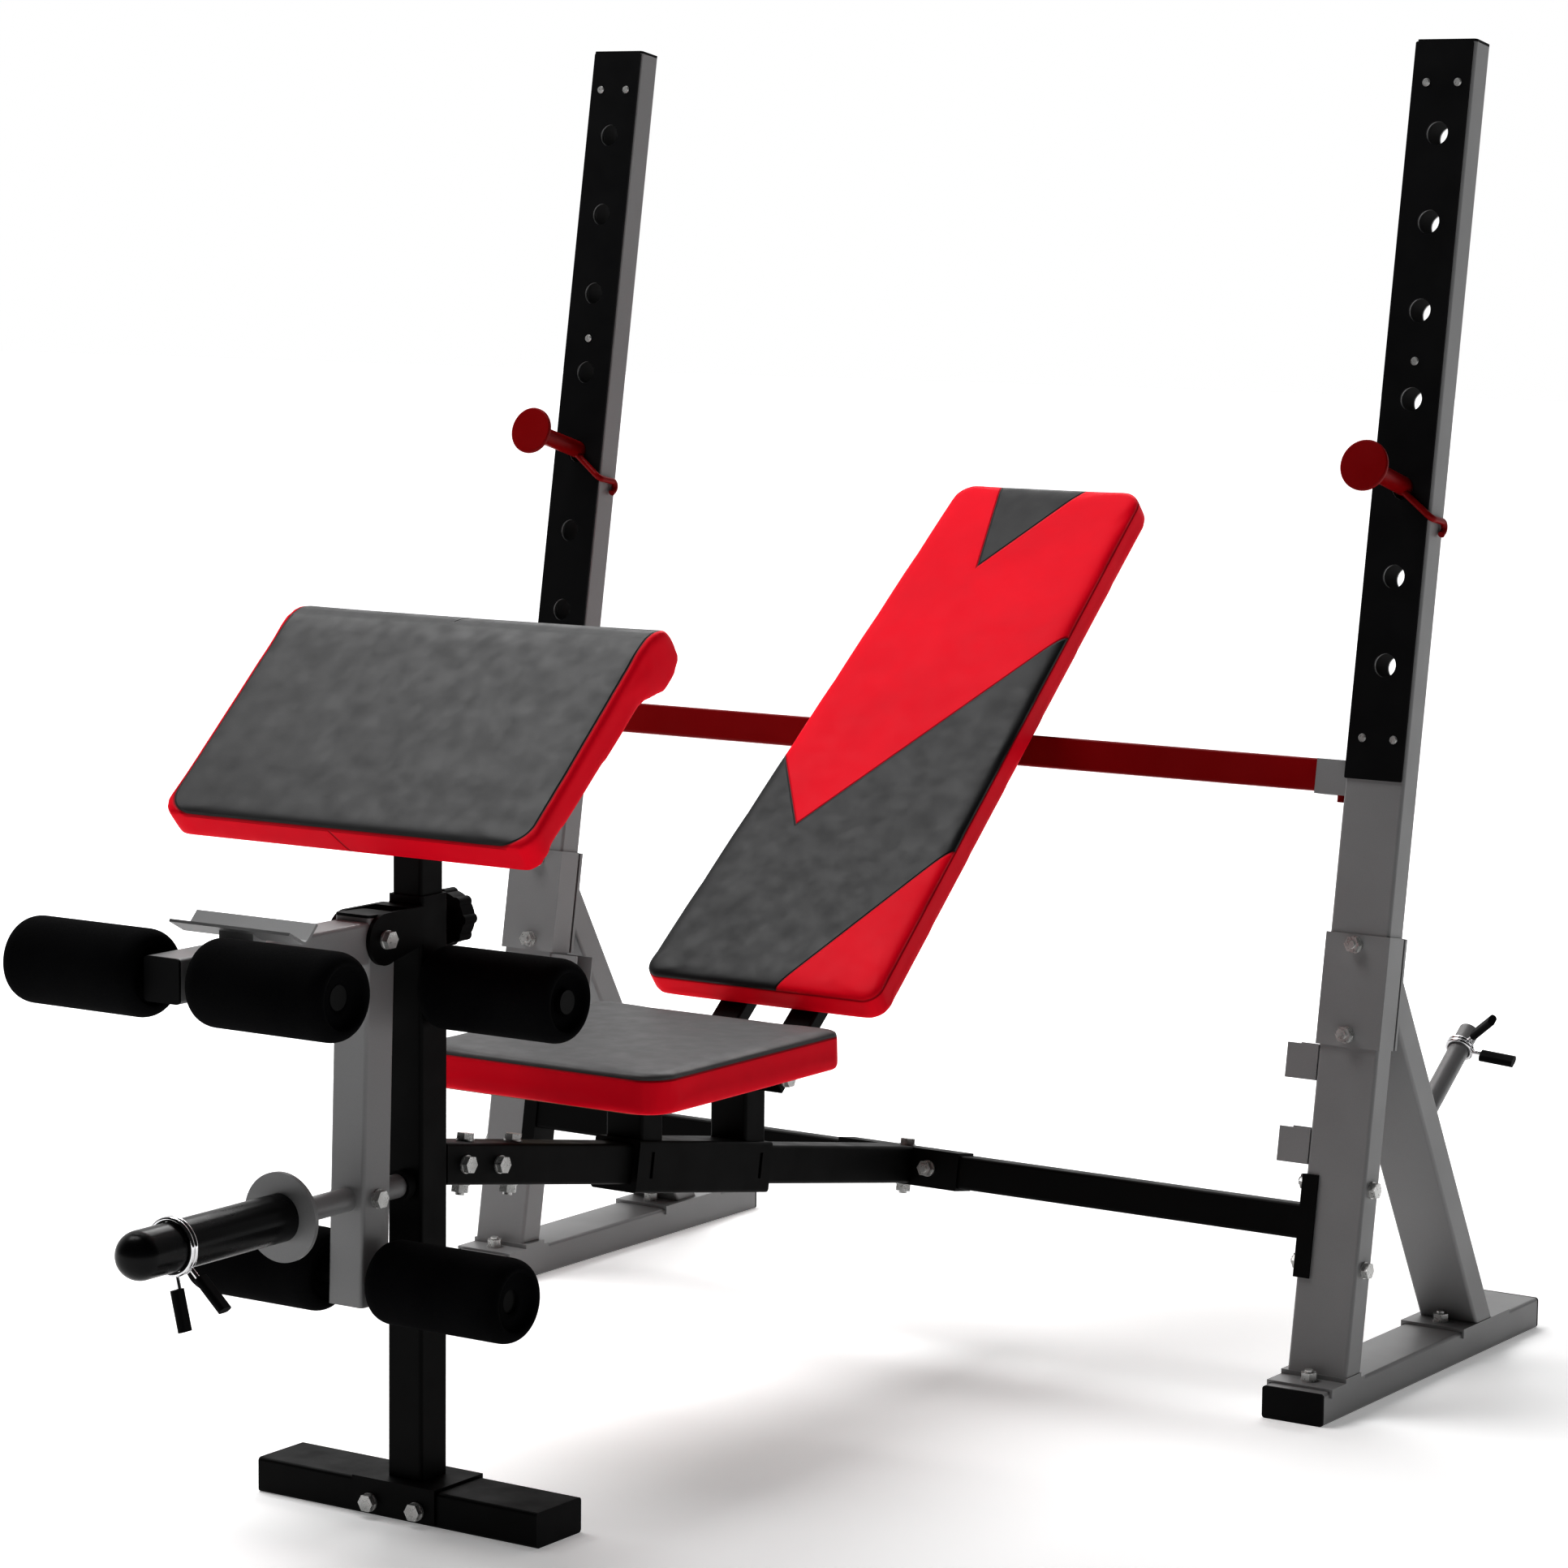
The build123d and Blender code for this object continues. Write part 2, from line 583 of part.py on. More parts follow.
# ---- front post ----
def front_foot():
    with BuildPart() as foot:
        with BuildSketch(across(-FRONT_FOOT_HALF)):
            with Locations((FRONT_Y, FOOT_TALL / 2)):
                tube_section(FOOT_WIDTH, FOOT_TALL, WALL)
        extrude(amount=2 * FRONT_FOOT_HALF)
        for side in (-1, 1):
            drill(upright_face(FRONT_Y), side * 31, 15, BOLT_R + RUN_FIT, 60)
    save(foot, "front_foot")


def front_post():
    rear = FRONT_Y + BEAM_SIZE / 2
    with BuildPart() as post:
        with BuildSketch(Plane.XY.offset(SADDLE_PLATE_TOP)):
            with Locations((0, FRONT_Y)):
                tube_section(BEAM_SIZE, BEAM_SIZE, WALL)
        extrude(amount=FRONT_POST_TOP - SADDLE_PLATE_TOP)
        # saddle over the foot
        block(Plane.XY.offset(FOOT_TALL), 0, FRONT_Y, 110, FOOT_WIDTH + 6, 3)
        for edge in (-1, 1):
            block(Plane.XY.offset(3), 0, FRONT_Y + edge * (FOOT_WIDTH / 2 + 1.5), 110, 3,
                  FOOT_TALL)
        # stub that the main beam slides over
        with BuildSketch(BEAM.offset(BEAM_LENGTH - 150)):
            tube_section(BEAM_SIZE - 2 * WALL - 0.6, BEAM_SIZE - 2 * WALL - 0.6, 3)
        extrude(until=Until.NEXT)
        # ears for the leg developer
        with BuildSketch(across(-28)):
            Polygon((PIVOT_Y, PIVOT_Z - 27), (FRONT_Y - 22.5, PIVOT_Z - 12),
                    (FRONT_Y - 22.5, PIVOT_Z + 27), (PIVOT_Y, PIVOT_Z + 27), align=None)
            with Locations((PIVOT_Y, PIVOT_Z)):
                Circle(27)
        extrude(amount=56)
        block(across(-23), PIVOT_Y - 20 + 15, PIVOT_Z, 100, 60, 46, mode=Mode.SUBTRACT)
        # nut boss for the clamping knob
        rod(upright_face(rear, 1), 0, KNOB_Z, 11, 12)
        drill(upright_face(rear, 1), 0, KNOB_Z, BOLT_R + RUN_FIT, 14)
        drill(across(0), PIVOT_Y, PIVOT_Z, PIVOT_R + RUN_FIT, 60)
        drill(across(0), FRONT_Y, MIDDLE_ROLLER[1], ROLLER_BAR_R + RUN_FIT, 60)
        for side in (-1, 1):
            drill(upright_face(FRONT_Y), side * 31, 15, BOLT_R + RUN_FIT, 60)
        for along in SIDE_BOLTS:
            drill(BEAM_SIDE, along, 0, BOLT_R + RUN_FIT, 60)
        for along in TOP_BOLTS:
            drill(BEAM_FLAT, 0, -along, BOLT_R + RUN_FIT, 60)
    save(post, "front_post")


def post_collar():
    """Plastic bush on top of the front post that guides the mast."""
    with BuildPart() as bush:
        with BuildSketch(Plane.XY.offset(FRONT_POST_TOP)):
            with Locations((0, FRONT_Y)):
                RectangleRounded(BEAM_SIZE, BEAM_SIZE, 5)
                Rectangle(MAST_SIZE + 2 * SLIDE_FIT, MAST_SIZE + 2 * SLIDE_FIT,
                          mode=Mode.SUBTRACT)
        extrude(amount=COLLAR_TALL)
    save(bush, "post_collar")


def knob(plane, stem, name, radius=KNOB_R):
    with BuildPart() as handle:
        with BuildSketch(plane.offset(stem)):
            Circle(radius - 3)
            with PolarLocations(radius - 6, 8):
                Circle(6)
        extrude(amount=22)
        rod(plane, 0, 0, BOLT_R, stem)
        rod(plane.offset(stem - 4), 0, 0, 13, 4)
        outer = handle.faces().sort_by(Axis(plane.origin, plane.z_dir))[-1]
        fillet(outer.edges(), 2.5)
    save(handle, name)


def mast():
    """Inner tube of the curl pad with its head plate."""
    with BuildPart() as tube:
        with BuildSketch(Plane.XY.offset(MAST_BOTTOM)):
            with Locations((0, FRONT_Y)):
                tube_section(MAST_SIZE, MAST_SIZE, WALL, 3.5)
        extrude(amount=320)
        with BuildSketch(CURL_SIDE):
            Polygon((-200, -200), (500, -200), (500, 57), (-200, 18.8), align=None)
        extrude(amount=200, both=True, mode=Mode.SUBTRACT)
        with BuildSketch(CURL_SIDE):
            Polygon((70, 30.5), (218, 38.6), (218, 43.1), (70, 35), align=None)
        extrude(amount=60, both=True)
    save(tube, "curl_mast")


# ---- arm-curl pad ----
def pocket_outline(depth):
    """Side view of the slot for the board, cut back to the given depth."""
    (low, high), (low_deep, high_deep) = CURL_POCKET, CURL_POCKET_DEEP
    Polygon((low, low_deep), (high, high_deep), (high, high_deep + depth),
            (low, low_deep + depth), align=None)


def curl_board():
    with BuildPart() as board:
        with BuildSketch(CURL_SIDE):
            pocket_outline(BOARD)
        extrude(amount=CURL_HALF - 20, both=True)
    save(board, "curl_board")


def curl_pad():
    with BuildPart() as pad:
        with BuildSketch(CURL_SIDE):
            Polygon(*CURL_PROFILE, align=None)
        extrude(amount=CURL_HALF, both=True)
        fillet(pad.edges().filter_by(Axis.X), 3.5)
        with BuildSketch(CURL_FACE):
            with Locations((0, 160)):
                RectangleRounded(2 * CURL_HALF, 330, CURL_CORNER)
        extrude(amount=90, both=True, mode=Mode.INTERSECT)
        with BuildSketch(CURL_SIDE):
            pocket_outline(40)
        extrude(amount=CURL_HALF - 20, both=True, mode=Mode.SUBTRACT)
    save(pad, "curl_pad")


# ---- leg developer ----
def leg_developer():
    with BuildPart() as lever:
        with BuildSketch(LEVER.offset(-LEVER_DOWN)):
            tube_section(BEAM_SIZE, BEAM_SIZE, WALL)
        extrude(amount=LEVER_DOWN + LEVER_UP)
        with BuildSketch(upright_face(ARM_END)):
            with Locations((0, ARM_Z)):
                tube_section(BEAM_SIZE, BEAM_SIZE, WALL)
        extrude(amount=ARM_END - PIVOT_Y + BEAM_SIZE / 2 - WALL / 2)
        rod(across(-BEAM_SIZE / 2), PIVOT_Y, PIVOT_Z, 10, BEAM_SIZE)
        drill(across(0), PIVOT_Y, PIVOT_Z, PIVOT_R + RUN_FIT, 40)
        for y, z in (UPPER_ROLLER[:2], LOWER_ROLLER[:2]):
            drill(across(0), y, z, ROLLER_BAR_R + RUN_FIT, 40)
        with BuildSketch(upright_face(WEIGHT_REAR)):
            with Locations((0, WEIGHT_Z)):
                Circle(ROLLER_BAR_R + RUN_FIT)
        extrude(amount=100, mode=Mode.SUBTRACT)
        drill(across(0), WEIGHT_BOLT_Y, WEIGHT_Z, BOLT_R + RUN_FIT, 40)
    save(lever, "leg_developer")


def lever_caps():
    with BuildPart() as caps:
        for plane, y in ((upright_face(ARM_END), ARM_Z), (LEVER.offset(LEVER_UP), 0)):
            with BuildSketch(plane):
                with Locations((0, y)):
                    RectangleRounded(BEAM_SIZE, BEAM_SIZE, 4)
            extrude(amount=CAP_THICK)
            if y:
                block(plane, 0, y, 36, 36, -6)
    save(caps, "lever_caps")


def curl_cradle():
    """Trough that holds a curl bar across the arm."""
    with BuildPart() as trough:
        with BuildSketch(across(CRADLE_START)):
            with BuildLine():
                FilletPolyline((-802, 664), (-776.5, 650.5), (-759, 668.5), radius=6)
            trace(line_width=3)
        extrude(amount=CRADLE_END - CRADLE_START)
        block(across(-22), -784, 653, 20, 12, 44)
        with BuildSketch(Plane.XY.offset(600)):
            with Locations((0, -780)):
                Rectangle(170, 80)
        extrude(amount=ARM_Z + BEAM_SIZE / 2 - 600, mode=Mode.SUBTRACT)
    save(trough, "curl_cradle")


def roller_bar(place, name):
    y, z, centre = place
    with BuildPart() as bar:
        with BuildSketch(across(centre - ROLLER_BAR_HALF)):
            with Locations((y, z)):
                Circle(ROLLER_BAR_R)
                Circle(ROLLER_BAR_R - 2, mode=Mode.SUBTRACT)
        extrude(amount=2 * ROLLER_BAR_HALF)
        for end in (-1, 1):
            rod(across(centre + end * ROLLER_BAR_HALF, end), end * y, z, ROLLER_BAR_R - 2, -8)
    save(bar, name)


def roller(place, centre, name):
    """Foam roller with dished ends, free to turn on its bar."""
    y, z = place[:2]
    start = centre - ROLLER_LENGTH / 2
    with BuildPart() as foam:
        with BuildSketch(across(start)):
            with Locations((y, z)):
                Circle(ROLLER_R)
                Circle(ROLLER_BAR_R + RUN_FIT, mode=Mode.SUBTRACT)
        extrude(amount=ROLLER_LENGTH)
        rims = foam.edges().filter_by(GeomType.CIRCLE).filter_by(lambda e: e.radius > 40)
        fillet(rims, 7)
        for end in (-1, 1):
            with BuildSketch(across(centre + end * ROLLER_LENGTH / 2, end)):
                with Locations((end * y, z)):
                    Circle(ROLLER_DISH_R)
            extrude(amount=-ROLLER_DISH, taper=12, mode=Mode.SUBTRACT)
    save(foam, name)


def weight_post():
    with BuildPart() as post:
        rod(upright_face(WEIGHT_REAR), 0, WEIGHT_Z, ROLLER_BAR_R,
            WEIGHT_REAR - SLEEVE_END - SLEEVE_TIP)
        rod(upright_face(FLANGE_FRONT + FLANGE_THICK), 0, WEIGHT_Z, FLANGE_R, FLANGE_THICK)
        drill(across(0), WEIGHT_BOLT_Y, WEIGHT_Z, BOLT_R + RUN_FIT, 40)
    save(post, "weight_post")


def weight_bumper():
    """Rubber stop on the rear end of the weight post; rests against the front post."""
    gap = 0.4
    with BuildPart() as bumper:
        rod(upright_face(FRONT_Y - BEAM_SIZE / 2 - gap), 0, WEIGHT_Z, 16,
            -(WEIGHT_REAR - FRONT_Y + BEAM_SIZE / 2 + gap))
    save(bumper, "weight_bumper")


def olympic_sleeve():
    with BuildPart() as sleeve:
        rod(upright_face(FLANGE_FRONT), 0, WEIGHT_Z, SLEEVE_R, FLANGE_FRONT - SLEEVE_END)
        fillet(sleeve.faces().sort_by(Axis.Y)[0].edges(), SLEEVE_R - 0.2)
        rod(upright_face(FLANGE_FRONT), 0, WEIGHT_Z, ROLLER_BAR_R + RUN_FIT,
            FLANGE_FRONT - SLEEVE_END - SLEEVE_TIP, mode=Mode.SUBTRACT)
    save(sleeve, "olympic_sleeve")


# ---- seat ----
def seat_carriage():
    middle = (CARRIAGE_ABOVE - CARRIAGE_BELOW) / 2
    tall = CARRIAGE_ABOVE + CARRIAGE_BELOW
    length = CARRIAGE_FRONT - CARRIAGE_REAR
    with BuildPart() as carriage:
        for y, low in ((LEG_FRONT_Y, 325), (LEG_REAR_Y, 290)):
            with BuildSketch(Plane.XY.offset(low)):
                with Locations((0, y)):
                    tube_section(LEG_WIDTH, LEG_DEPTH, WALL)
            extrude(amount=SEAT_BOTTOM - 4 - low)
        with BuildSketch(BEAM.offset(CARRIAGE_REAR)):
            with Locations((0, middle)):
                RectangleRounded(2 * CARRIAGE_HALF, tall, 4)
        extrude(amount=length)
        with BuildSketch(BEAM.offset(CARRIAGE_REAR)):
            with Locations((0, middle)):
                Rectangle(2 * (CARRIAGE_HALF - CARRIAGE_WALL), tall - 2 * CARRIAGE_WALL)
        extrude(amount=length, mode=Mode.SUBTRACT)
        block(Plane.XY.offset(SEAT_BOTTOM - 4), 0, LEG_FRONT_Y, 120, 60, 4)
        block(Plane.XY.offset(SEAT_BOTTOM - 4), 0, 30, 120, 48, 4)
        block(Plane.XY.offset(SEAT_BOTTOM - 4), 0, 80, 60, 77, 4)
        # slots that key the plastic liners
        for along in (351, 572):
            for side in (-1, 1):
                block(BEAM_SIDE.offset(side * (CARRIAGE_HALF - CARRIAGE_WALL / 2) - 3),
                      along, 0, 6, 30, 6, mode=Mode.SUBTRACT)
        # nut boss for the clamping knob
        boss = BEAM_SIDE.offset(CARRIAGE_HALF)
        rod(boss, 465, 0, 10, 10)
        drill(boss, 465, 0, BOLT_R + RUN_FIT, 12)
        # backrest pivot sleeve
        rod(across(-LEG_WIDTH / 2 - 5.5), PIVOT_BACK[1], PIVOT_BACK[2], 9, LEG_WIDTH + 11)
        drill(across(0), PIVOT_BACK[1], PIVOT_BACK[2], BOLT_R + RUN_FIT, 60)
    save(carriage, "seat_carriage")


def carriage_liners():
    """Plastic bushes in both ends of the carriage, running on the beam."""
    middle = (CARRIAGE_ABOVE - CARRIAGE_BELOW) / 2
    inner = 2 * (CARRIAGE_HALF - CARRIAGE_WALL)
    tall = CARRIAGE_ABOVE + CARRIAGE_BELOW - 2 * CARRIAGE_WALL
    clear = BEAM_SIZE + 2 * SLIDE_FIT
    with BuildPart() as liners:
        for start in (CARRIAGE_REAR, CARRIAGE_FRONT - 45):
            with BuildSketch(BEAM.offset(start)):
                with Locations((0, middle)):
                    Rectangle(inner, tall)
                RectangleRounded(clear, clear, 4, mode=Mode.SUBTRACT)
            extrude(amount=45)
    save(liners, "carriage_liners")


def seat_board():
    with BuildPart() as board:
        with BuildSketch(Plane.XY.offset(SEAT_BOTTOM)):
            with Locations((0, (SEAT_FRONT + SEAT_REAR) / 2)):
                RectangleRounded(2 * (SEAT_HALF - BOARD_INSET),
                                 SEAT_REAR - SEAT_FRONT - 2 * BOARD_INSET, 36)
        extrude(amount=BOARD)
    save(board, "seat_board")


def seat_pad():
    with BuildPart() as pad:
        with BuildSketch(Plane.XY.offset(SEAT_BOTTOM)):
            with Locations((0, (SEAT_FRONT + SEAT_REAR) / 2)):
                RectangleRounded(2 * SEAT_HALF, SEAT_REAR - SEAT_FRONT, 40)
        extrude(amount=SEAT_CROWN - SEAT_BOTTOM)
        fillet(pad.faces().sort_by(Axis.Z)[-1].edges(), 8)
        with BuildSketch(Plane.XY.offset(SEAT_BOTTOM)):
            with Locations((0, (SEAT_FRONT + SEAT_REAR) / 2)):
                RectangleRounded(2 * (SEAT_HALF - BOARD_INSET),
                                 SEAT_REAR - SEAT_FRONT - 2 * BOARD_INSET, 36)
        extrude(amount=BOARD, mode=Mode.SUBTRACT)
    save(pad, "seat_pad")


# ---- backrest ----
def back_outline(inset):
    half_low, half_top = BACK_LOW_HALF - inset, BACK_TOP_HALF - inset
    shape = Polygon((-half_low, inset), (half_low, inset), (half_top, BACK_LENGTH - inset),
                    (-half_top, BACK_LENGTH - inset), align=None)
    fillet(shape.vertices(), 38 - inset)


def backrest_board():
    with BuildPart() as board:
        with BuildSketch(BACK.offset(-BACK_THICK)):
            back_outline(BOARD_INSET)
        extrude(amount=BOARD)
    save(board, "backrest_board")


def backrest_pad():
    with BuildPart() as pad:
        with BuildSketch(BACK.offset(-BACK_THICK)):
            back_outline(0)
        extrude(amount=BACK_THICK)
        front = pad.faces().sort_by(Axis((0, 0, 0), BACK.z_dir))[-1]
        fillet(front.edges(), 8)
        with BuildSketch(BACK.offset(-BACK_THICK)):
            back_outline(BOARD_INSET)
        extrude(amount=BOARD, mode=Mode.SUBTRACT)
    save(pad, "backrest_pad")


def backrest_rails():
    with BuildPart() as rails:
        for side in (-1, 1):
            with BuildSketch(Plane(BACK.from_local_coords((0, BACK_PIVOT - 14, 0)),
                                   x_dir=(1, 0, 0), z_dir=(0, SK, CK))):
                with Locations((side * RAIL_X, BACK_THICK + RAIL_DEPTH / 2)):
                    tube_section(RAIL_WIDTH, RAIL_DEPTH, WALL, 3)
            extrude(amount=RAIL_END - BACK_PIVOT)
        for height in (60, RAIL_END - 60):
            block(BACK.offset(-BACK_THICK - 3), 0, height, 2 * (RAIL_X - RAIL_WIDTH / 2) + 2, 50, 3)
        drill(across(0), PIVOT_BACK[1], PIVOT_BACK[2], BOLT_R + RUN_FIT, 90)
    save(rails, "backrest_rails")


def cross_bolt(plane, x, y, grip, name, radius=BOLT_R):
    """Through bolt with its nut and washers fused as one fitted fastener."""
    with BuildPart() as fastener:
        bolt(plane, x, y, grip + WASHER_THICK + NUT_TALL + 3)
        rod(plane, x, y, radius, -grip)
        far = plane.offset(-grip)
        rod(far, x, y, WASHER_R, -WASHER_THICK)
        hexagon(far.offset(-WASHER_THICK), x, y, -NUT_TALL)
    save(fastener, name)


# ---- fixed fasteners ----
def bolt_places():
    """Each frame bolt as (head plane, x, y, clamped length)."""
    inner = POST_X - POST_WIDTH / 2
    places = []
    for side in (-1, 1):
        under = Plane.XY.offset(FOOT_TALL - WALL)
        below = Plane(under.origin, x_dir=(1, 0, 0), z_dir=(0, 0, -1))
        places.append((below, side * FOOT_X, -408.5, WALL + 3))
        for y in BRACE_BOLTS_Y:
            places.append((below, side * FOOT_X, -y, WALL + 4))
        rear = Plane(POST_FACE.offset(-POST_DEPTH - REAR_PLATE_THICK).origin, x_dir=(-1, 0, 0),
                     z_dir=(0, C, -S))
        for height in SPLICE_BOLTS:
            places.append((rear, -side * FOOT_X, height,
                           POST_DEPTH + REAR_PLATE_THICK + SPLICE_WALL))
        outer = Plane((side * (POST_X + POST_WIDTH / 2), POST_FOOT_Y, 0),
                      x_dir=(0, side * C, -side * S), z_dir=(side, 0, 0))
        for height in END_BOLTS:
            places.append((outer, side * POST_DEPTH / 2, height, POST_WIDTH + 3))
        back = Plane(POST_FACE.offset(-CROSS_FRONT - CROSS_DEPTH).origin, x_dir=(-1, 0, 0),
                     z_dir=(0, C, -S))
        places.append((back, -side * 45, CROSS_BOTTOM + CROSS_TALL / 2,
                       CROSS_DEPTH + JUNCTION_WALL))
        places.append((upright_face(FRONT_Y - FOOT_WIDTH / 2 - 3), side * 31, 15,
                       FOOT_WIDTH + 6))
    places.append((POST.offset(CROSS_BOTTOM + CROSS_TALL + JUNCTION_WALL), 0, 18,
                   CROSS_TALL + 2 * JUNCTION_WALL))
    near = Plane(BEAM_SIDE.offset(-BEAM_SIZE / 2).origin, x_dir=(0, CB, -SB), z_dir=(1, 0, 0))
    for along in SIDE_BOLTS:
        places.append((near, -along, 0, BEAM_SIZE))
    for along in TOP_BOLTS:
        places.append((BEAM_FLAT.offset(BEAM_SIZE / 2), 0, -along, BEAM_SIZE))
    return places


def frame_bolts():
    with BuildPart() as bolts:
        for plane, x, y, grip in bolt_places():
            bolt(plane, x, y, grip + WASHER_THICK + NUT_TALL + 3)
    save(bolts, "frame_bolts")


def frame_nuts():
    with BuildPart() as nuts:
        for plane, x, y, grip in bolt_places():
            far = plane.offset(-grip)
            turned = Plane(far.origin, x_dir=far.x_dir, z_dir=far.z_dir * -1)
            nut(turned, x, -y)
    save(nuts, "frame_nuts")


os.makedirs("parts", exist_ok=True)
for side, hand in ((-1, "left"), (1, "right")):
    lower_post(side, "lower_post_" + hand)
    upper_post(side, "upper_post_" + hand)
    hook_pin(side, "hook_pin_" + hand)
    rear_foot(side, "rear_foot_" + hand)
    brace(side, "brace_" + hand)
    roller(UPPER_ROLLER, 126.5 if side > 0 else -110.5, "upper_roller_" + hand)
    roller(MIDDLE_ROLLER, side * 112, "middle_roller_" + hand)
    roller(LOWER_ROLLER, side * 122, "lower_roller_" + hand)
front_plates()
plate_rivets()
post_caps()
support_bar()
foot_caps()
cross_beam()
main_beam()
front_foot()
front_post()
post_collar()
knob(Plane((0, FRONT_Y + MAST_SIZE / 2 + 0.3, KNOB_Z), x_dir=(-1, 0, 0), z_dir=(0, 1, 0)),
     22, "lock_knob")
mast()
curl_board()
curl_pad()
cross_bolt(across(28), PIVOT_Y, PIVOT_Z, 56, "lever_pivot_bolt", PIVOT_R)
leg_developer()
lever_caps()
curl_cradle()
roller_bar(UPPER_ROLLER, "upper_roller_bar")
roller_bar(MIDDLE_ROLLER, "middle_roller_bar")
roller_bar(LOWER_ROLLER, "lower_roller_bar")
weight_post()
weight_bumper()
cross_bolt(across(BEAM_SIZE / 2), WEIGHT_BOLT_Y, WEIGHT_Z, BEAM_SIZE, "weight_bolt")
olympic_sleeve()
sleeve_place = Plane((0, SLEEVE_COLLAR_Y, WEIGHT_Z), x_dir=(1, 0, 0), z_dir=(0, -1, 0))
collar_wire(sleeve_place, SLEEVE_R + SLIDE_FIT, SLEEVE_GRIP_ANGLES, "sleeve_collar")
collar_grips(sleeve_place, SLEEVE_R + SLIDE_FIT, SLEEVE_GRIP_ANGLES, "sleeve_grips")
peg_place = Plane((POST_X, PEG_Y + CP * 140, PEG_Z + SP * 140), x_dir=(1, 0, 0),
                  z_dir=(0, CP, SP))
collar_wire(peg_place, PEG_R + SLIDE_FIT, PEG_GRIP_ANGLES, "peg_collar")
collar_grips(peg_place, PEG_R + SLIDE_FIT, PEG_GRIP_ANGLES, "peg_grips")
seat_carriage()
carriage_liners()
knob(Plane((-BEAM_SIZE / 2 - 0.3, BEAM_Y - 465 * CB, BEAM_Z + 465 * SB), x_dir=(0, 0, 1),
           z_dir=(-1, 0, 0)), 24, "carriage_knob", 24)
seat_board()
seat_pad()
backrest_rails()
backrest_board()
backrest_pad()
cross_bolt(across(RAIL_X + RAIL_WIDTH / 2 + SLIDE_FIT), PIVOT_BACK[1], PIVOT_BACK[2],
           2 * RAIL_X + RAIL_WIDTH + 2 * SLIDE_FIT, "backrest_pivot_bolt")
frame_bolts()
frame_nuts()
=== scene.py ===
import bmesh
import bpy
import json
from math import cos, exp, pi, radians, sin, sqrt
from mathutils import Matrix, Vector

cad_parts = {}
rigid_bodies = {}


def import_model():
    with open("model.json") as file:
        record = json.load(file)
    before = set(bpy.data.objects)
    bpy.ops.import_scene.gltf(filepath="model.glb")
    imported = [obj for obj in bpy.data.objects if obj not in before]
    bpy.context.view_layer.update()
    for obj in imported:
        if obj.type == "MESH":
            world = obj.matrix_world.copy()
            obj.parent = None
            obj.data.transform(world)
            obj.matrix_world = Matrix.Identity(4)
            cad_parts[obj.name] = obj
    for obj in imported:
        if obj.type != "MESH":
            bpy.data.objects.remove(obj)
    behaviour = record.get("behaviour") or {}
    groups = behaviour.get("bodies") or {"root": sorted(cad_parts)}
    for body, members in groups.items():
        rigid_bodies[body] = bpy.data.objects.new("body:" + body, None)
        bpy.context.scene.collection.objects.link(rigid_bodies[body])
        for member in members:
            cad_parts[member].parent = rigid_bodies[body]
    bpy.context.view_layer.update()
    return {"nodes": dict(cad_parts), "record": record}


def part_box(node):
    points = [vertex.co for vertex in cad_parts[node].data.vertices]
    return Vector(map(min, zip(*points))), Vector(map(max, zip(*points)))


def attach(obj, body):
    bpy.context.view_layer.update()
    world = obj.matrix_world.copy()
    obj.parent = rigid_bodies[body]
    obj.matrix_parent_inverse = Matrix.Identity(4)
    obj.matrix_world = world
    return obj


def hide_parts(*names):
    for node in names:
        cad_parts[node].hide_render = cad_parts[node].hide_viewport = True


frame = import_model()
scene = bpy.context.scene

# ---------------------------------------------------------------- materials
def math_node(tree, operation, *values):
    node = tree.nodes.new("ShaderNodeMath")
    node.operation = operation
    for socket, value in zip(node.inputs, values):
        if isinstance(value, (int, float)):
            socket.default_value = value
        else:
            tree.links.new(value, socket)
    return node.outputs[0]


def noise(tree, place, scale, detail=3.0, rough=0.5):
    node = tree.nodes.new("ShaderNodeTexNoise")
    node.inputs["Scale"].default_value = scale
    node.inputs["Detail"].default_value = detail
    node.inputs["Roughness"].default_value = rough
    tree.links.new(place, node.inputs["Vector"])
    return node.outputs["Fac"]


def voronoi(tree, place, scale):
    node = tree.nodes.new("ShaderNodeTexVoronoi")
    node.inputs["Scale"].default_value = scale
    tree.links.new(place, node.inputs["Vector"])
    return node.outputs["Distance"]


def remap(tree, value, low, high, to_low, to_high):
    node = tree.nodes.new("ShaderNodeMapRange")
    tree.links.new(value, node.inputs["Value"])
    for name, number in (("From Min", low), ("From Max", high), ("To Min", to_low),
                         ("To Max", to_high)):
        node.inputs[name].default_value = number
    return node.outputs["Result"]


def mix(tree, factor, first, second):
    node = tree.nodes.new("ShaderNodeMix")
    node.data_type = "RGBA"
    tree.links.new(factor, node.inputs["Factor"])
    for socket, value in ((node.inputs["A"], first), (node.inputs["B"], second)):
        if isinstance(value, tuple):
            socket.default_value = (*value, 1.0)
        else:
            tree.links.new(value, socket)
    return node.outputs["Result"]


def bump(tree, height, strength, distance, under=None):
    node = tree.nodes.new("ShaderNodeBump")
    node.inputs["Strength"].default_value = strength
    node.inputs["Distance"].default_value = distance
    tree.links.new(height, node.inputs["Height"])
    if under:
        tree.links.new(under, node.inputs["Normal"])
    return node.outputs["Normal"]


def new_material(name, specular=0.5, metallic=0.0):
    material = bpy.data.materials.new(name)
    material.use_nodes = True
    tree = material.node_tree
    shader = tree.nodes["Principled BSDF"]
    shader.inputs["Specular IOR Level"].default_value = specular
    shader.inputs["Metallic"].default_value = metallic
    place = tree.nodes.new("ShaderNodeTexCoord").outputs["Object"]
    return material, tree, shader, place


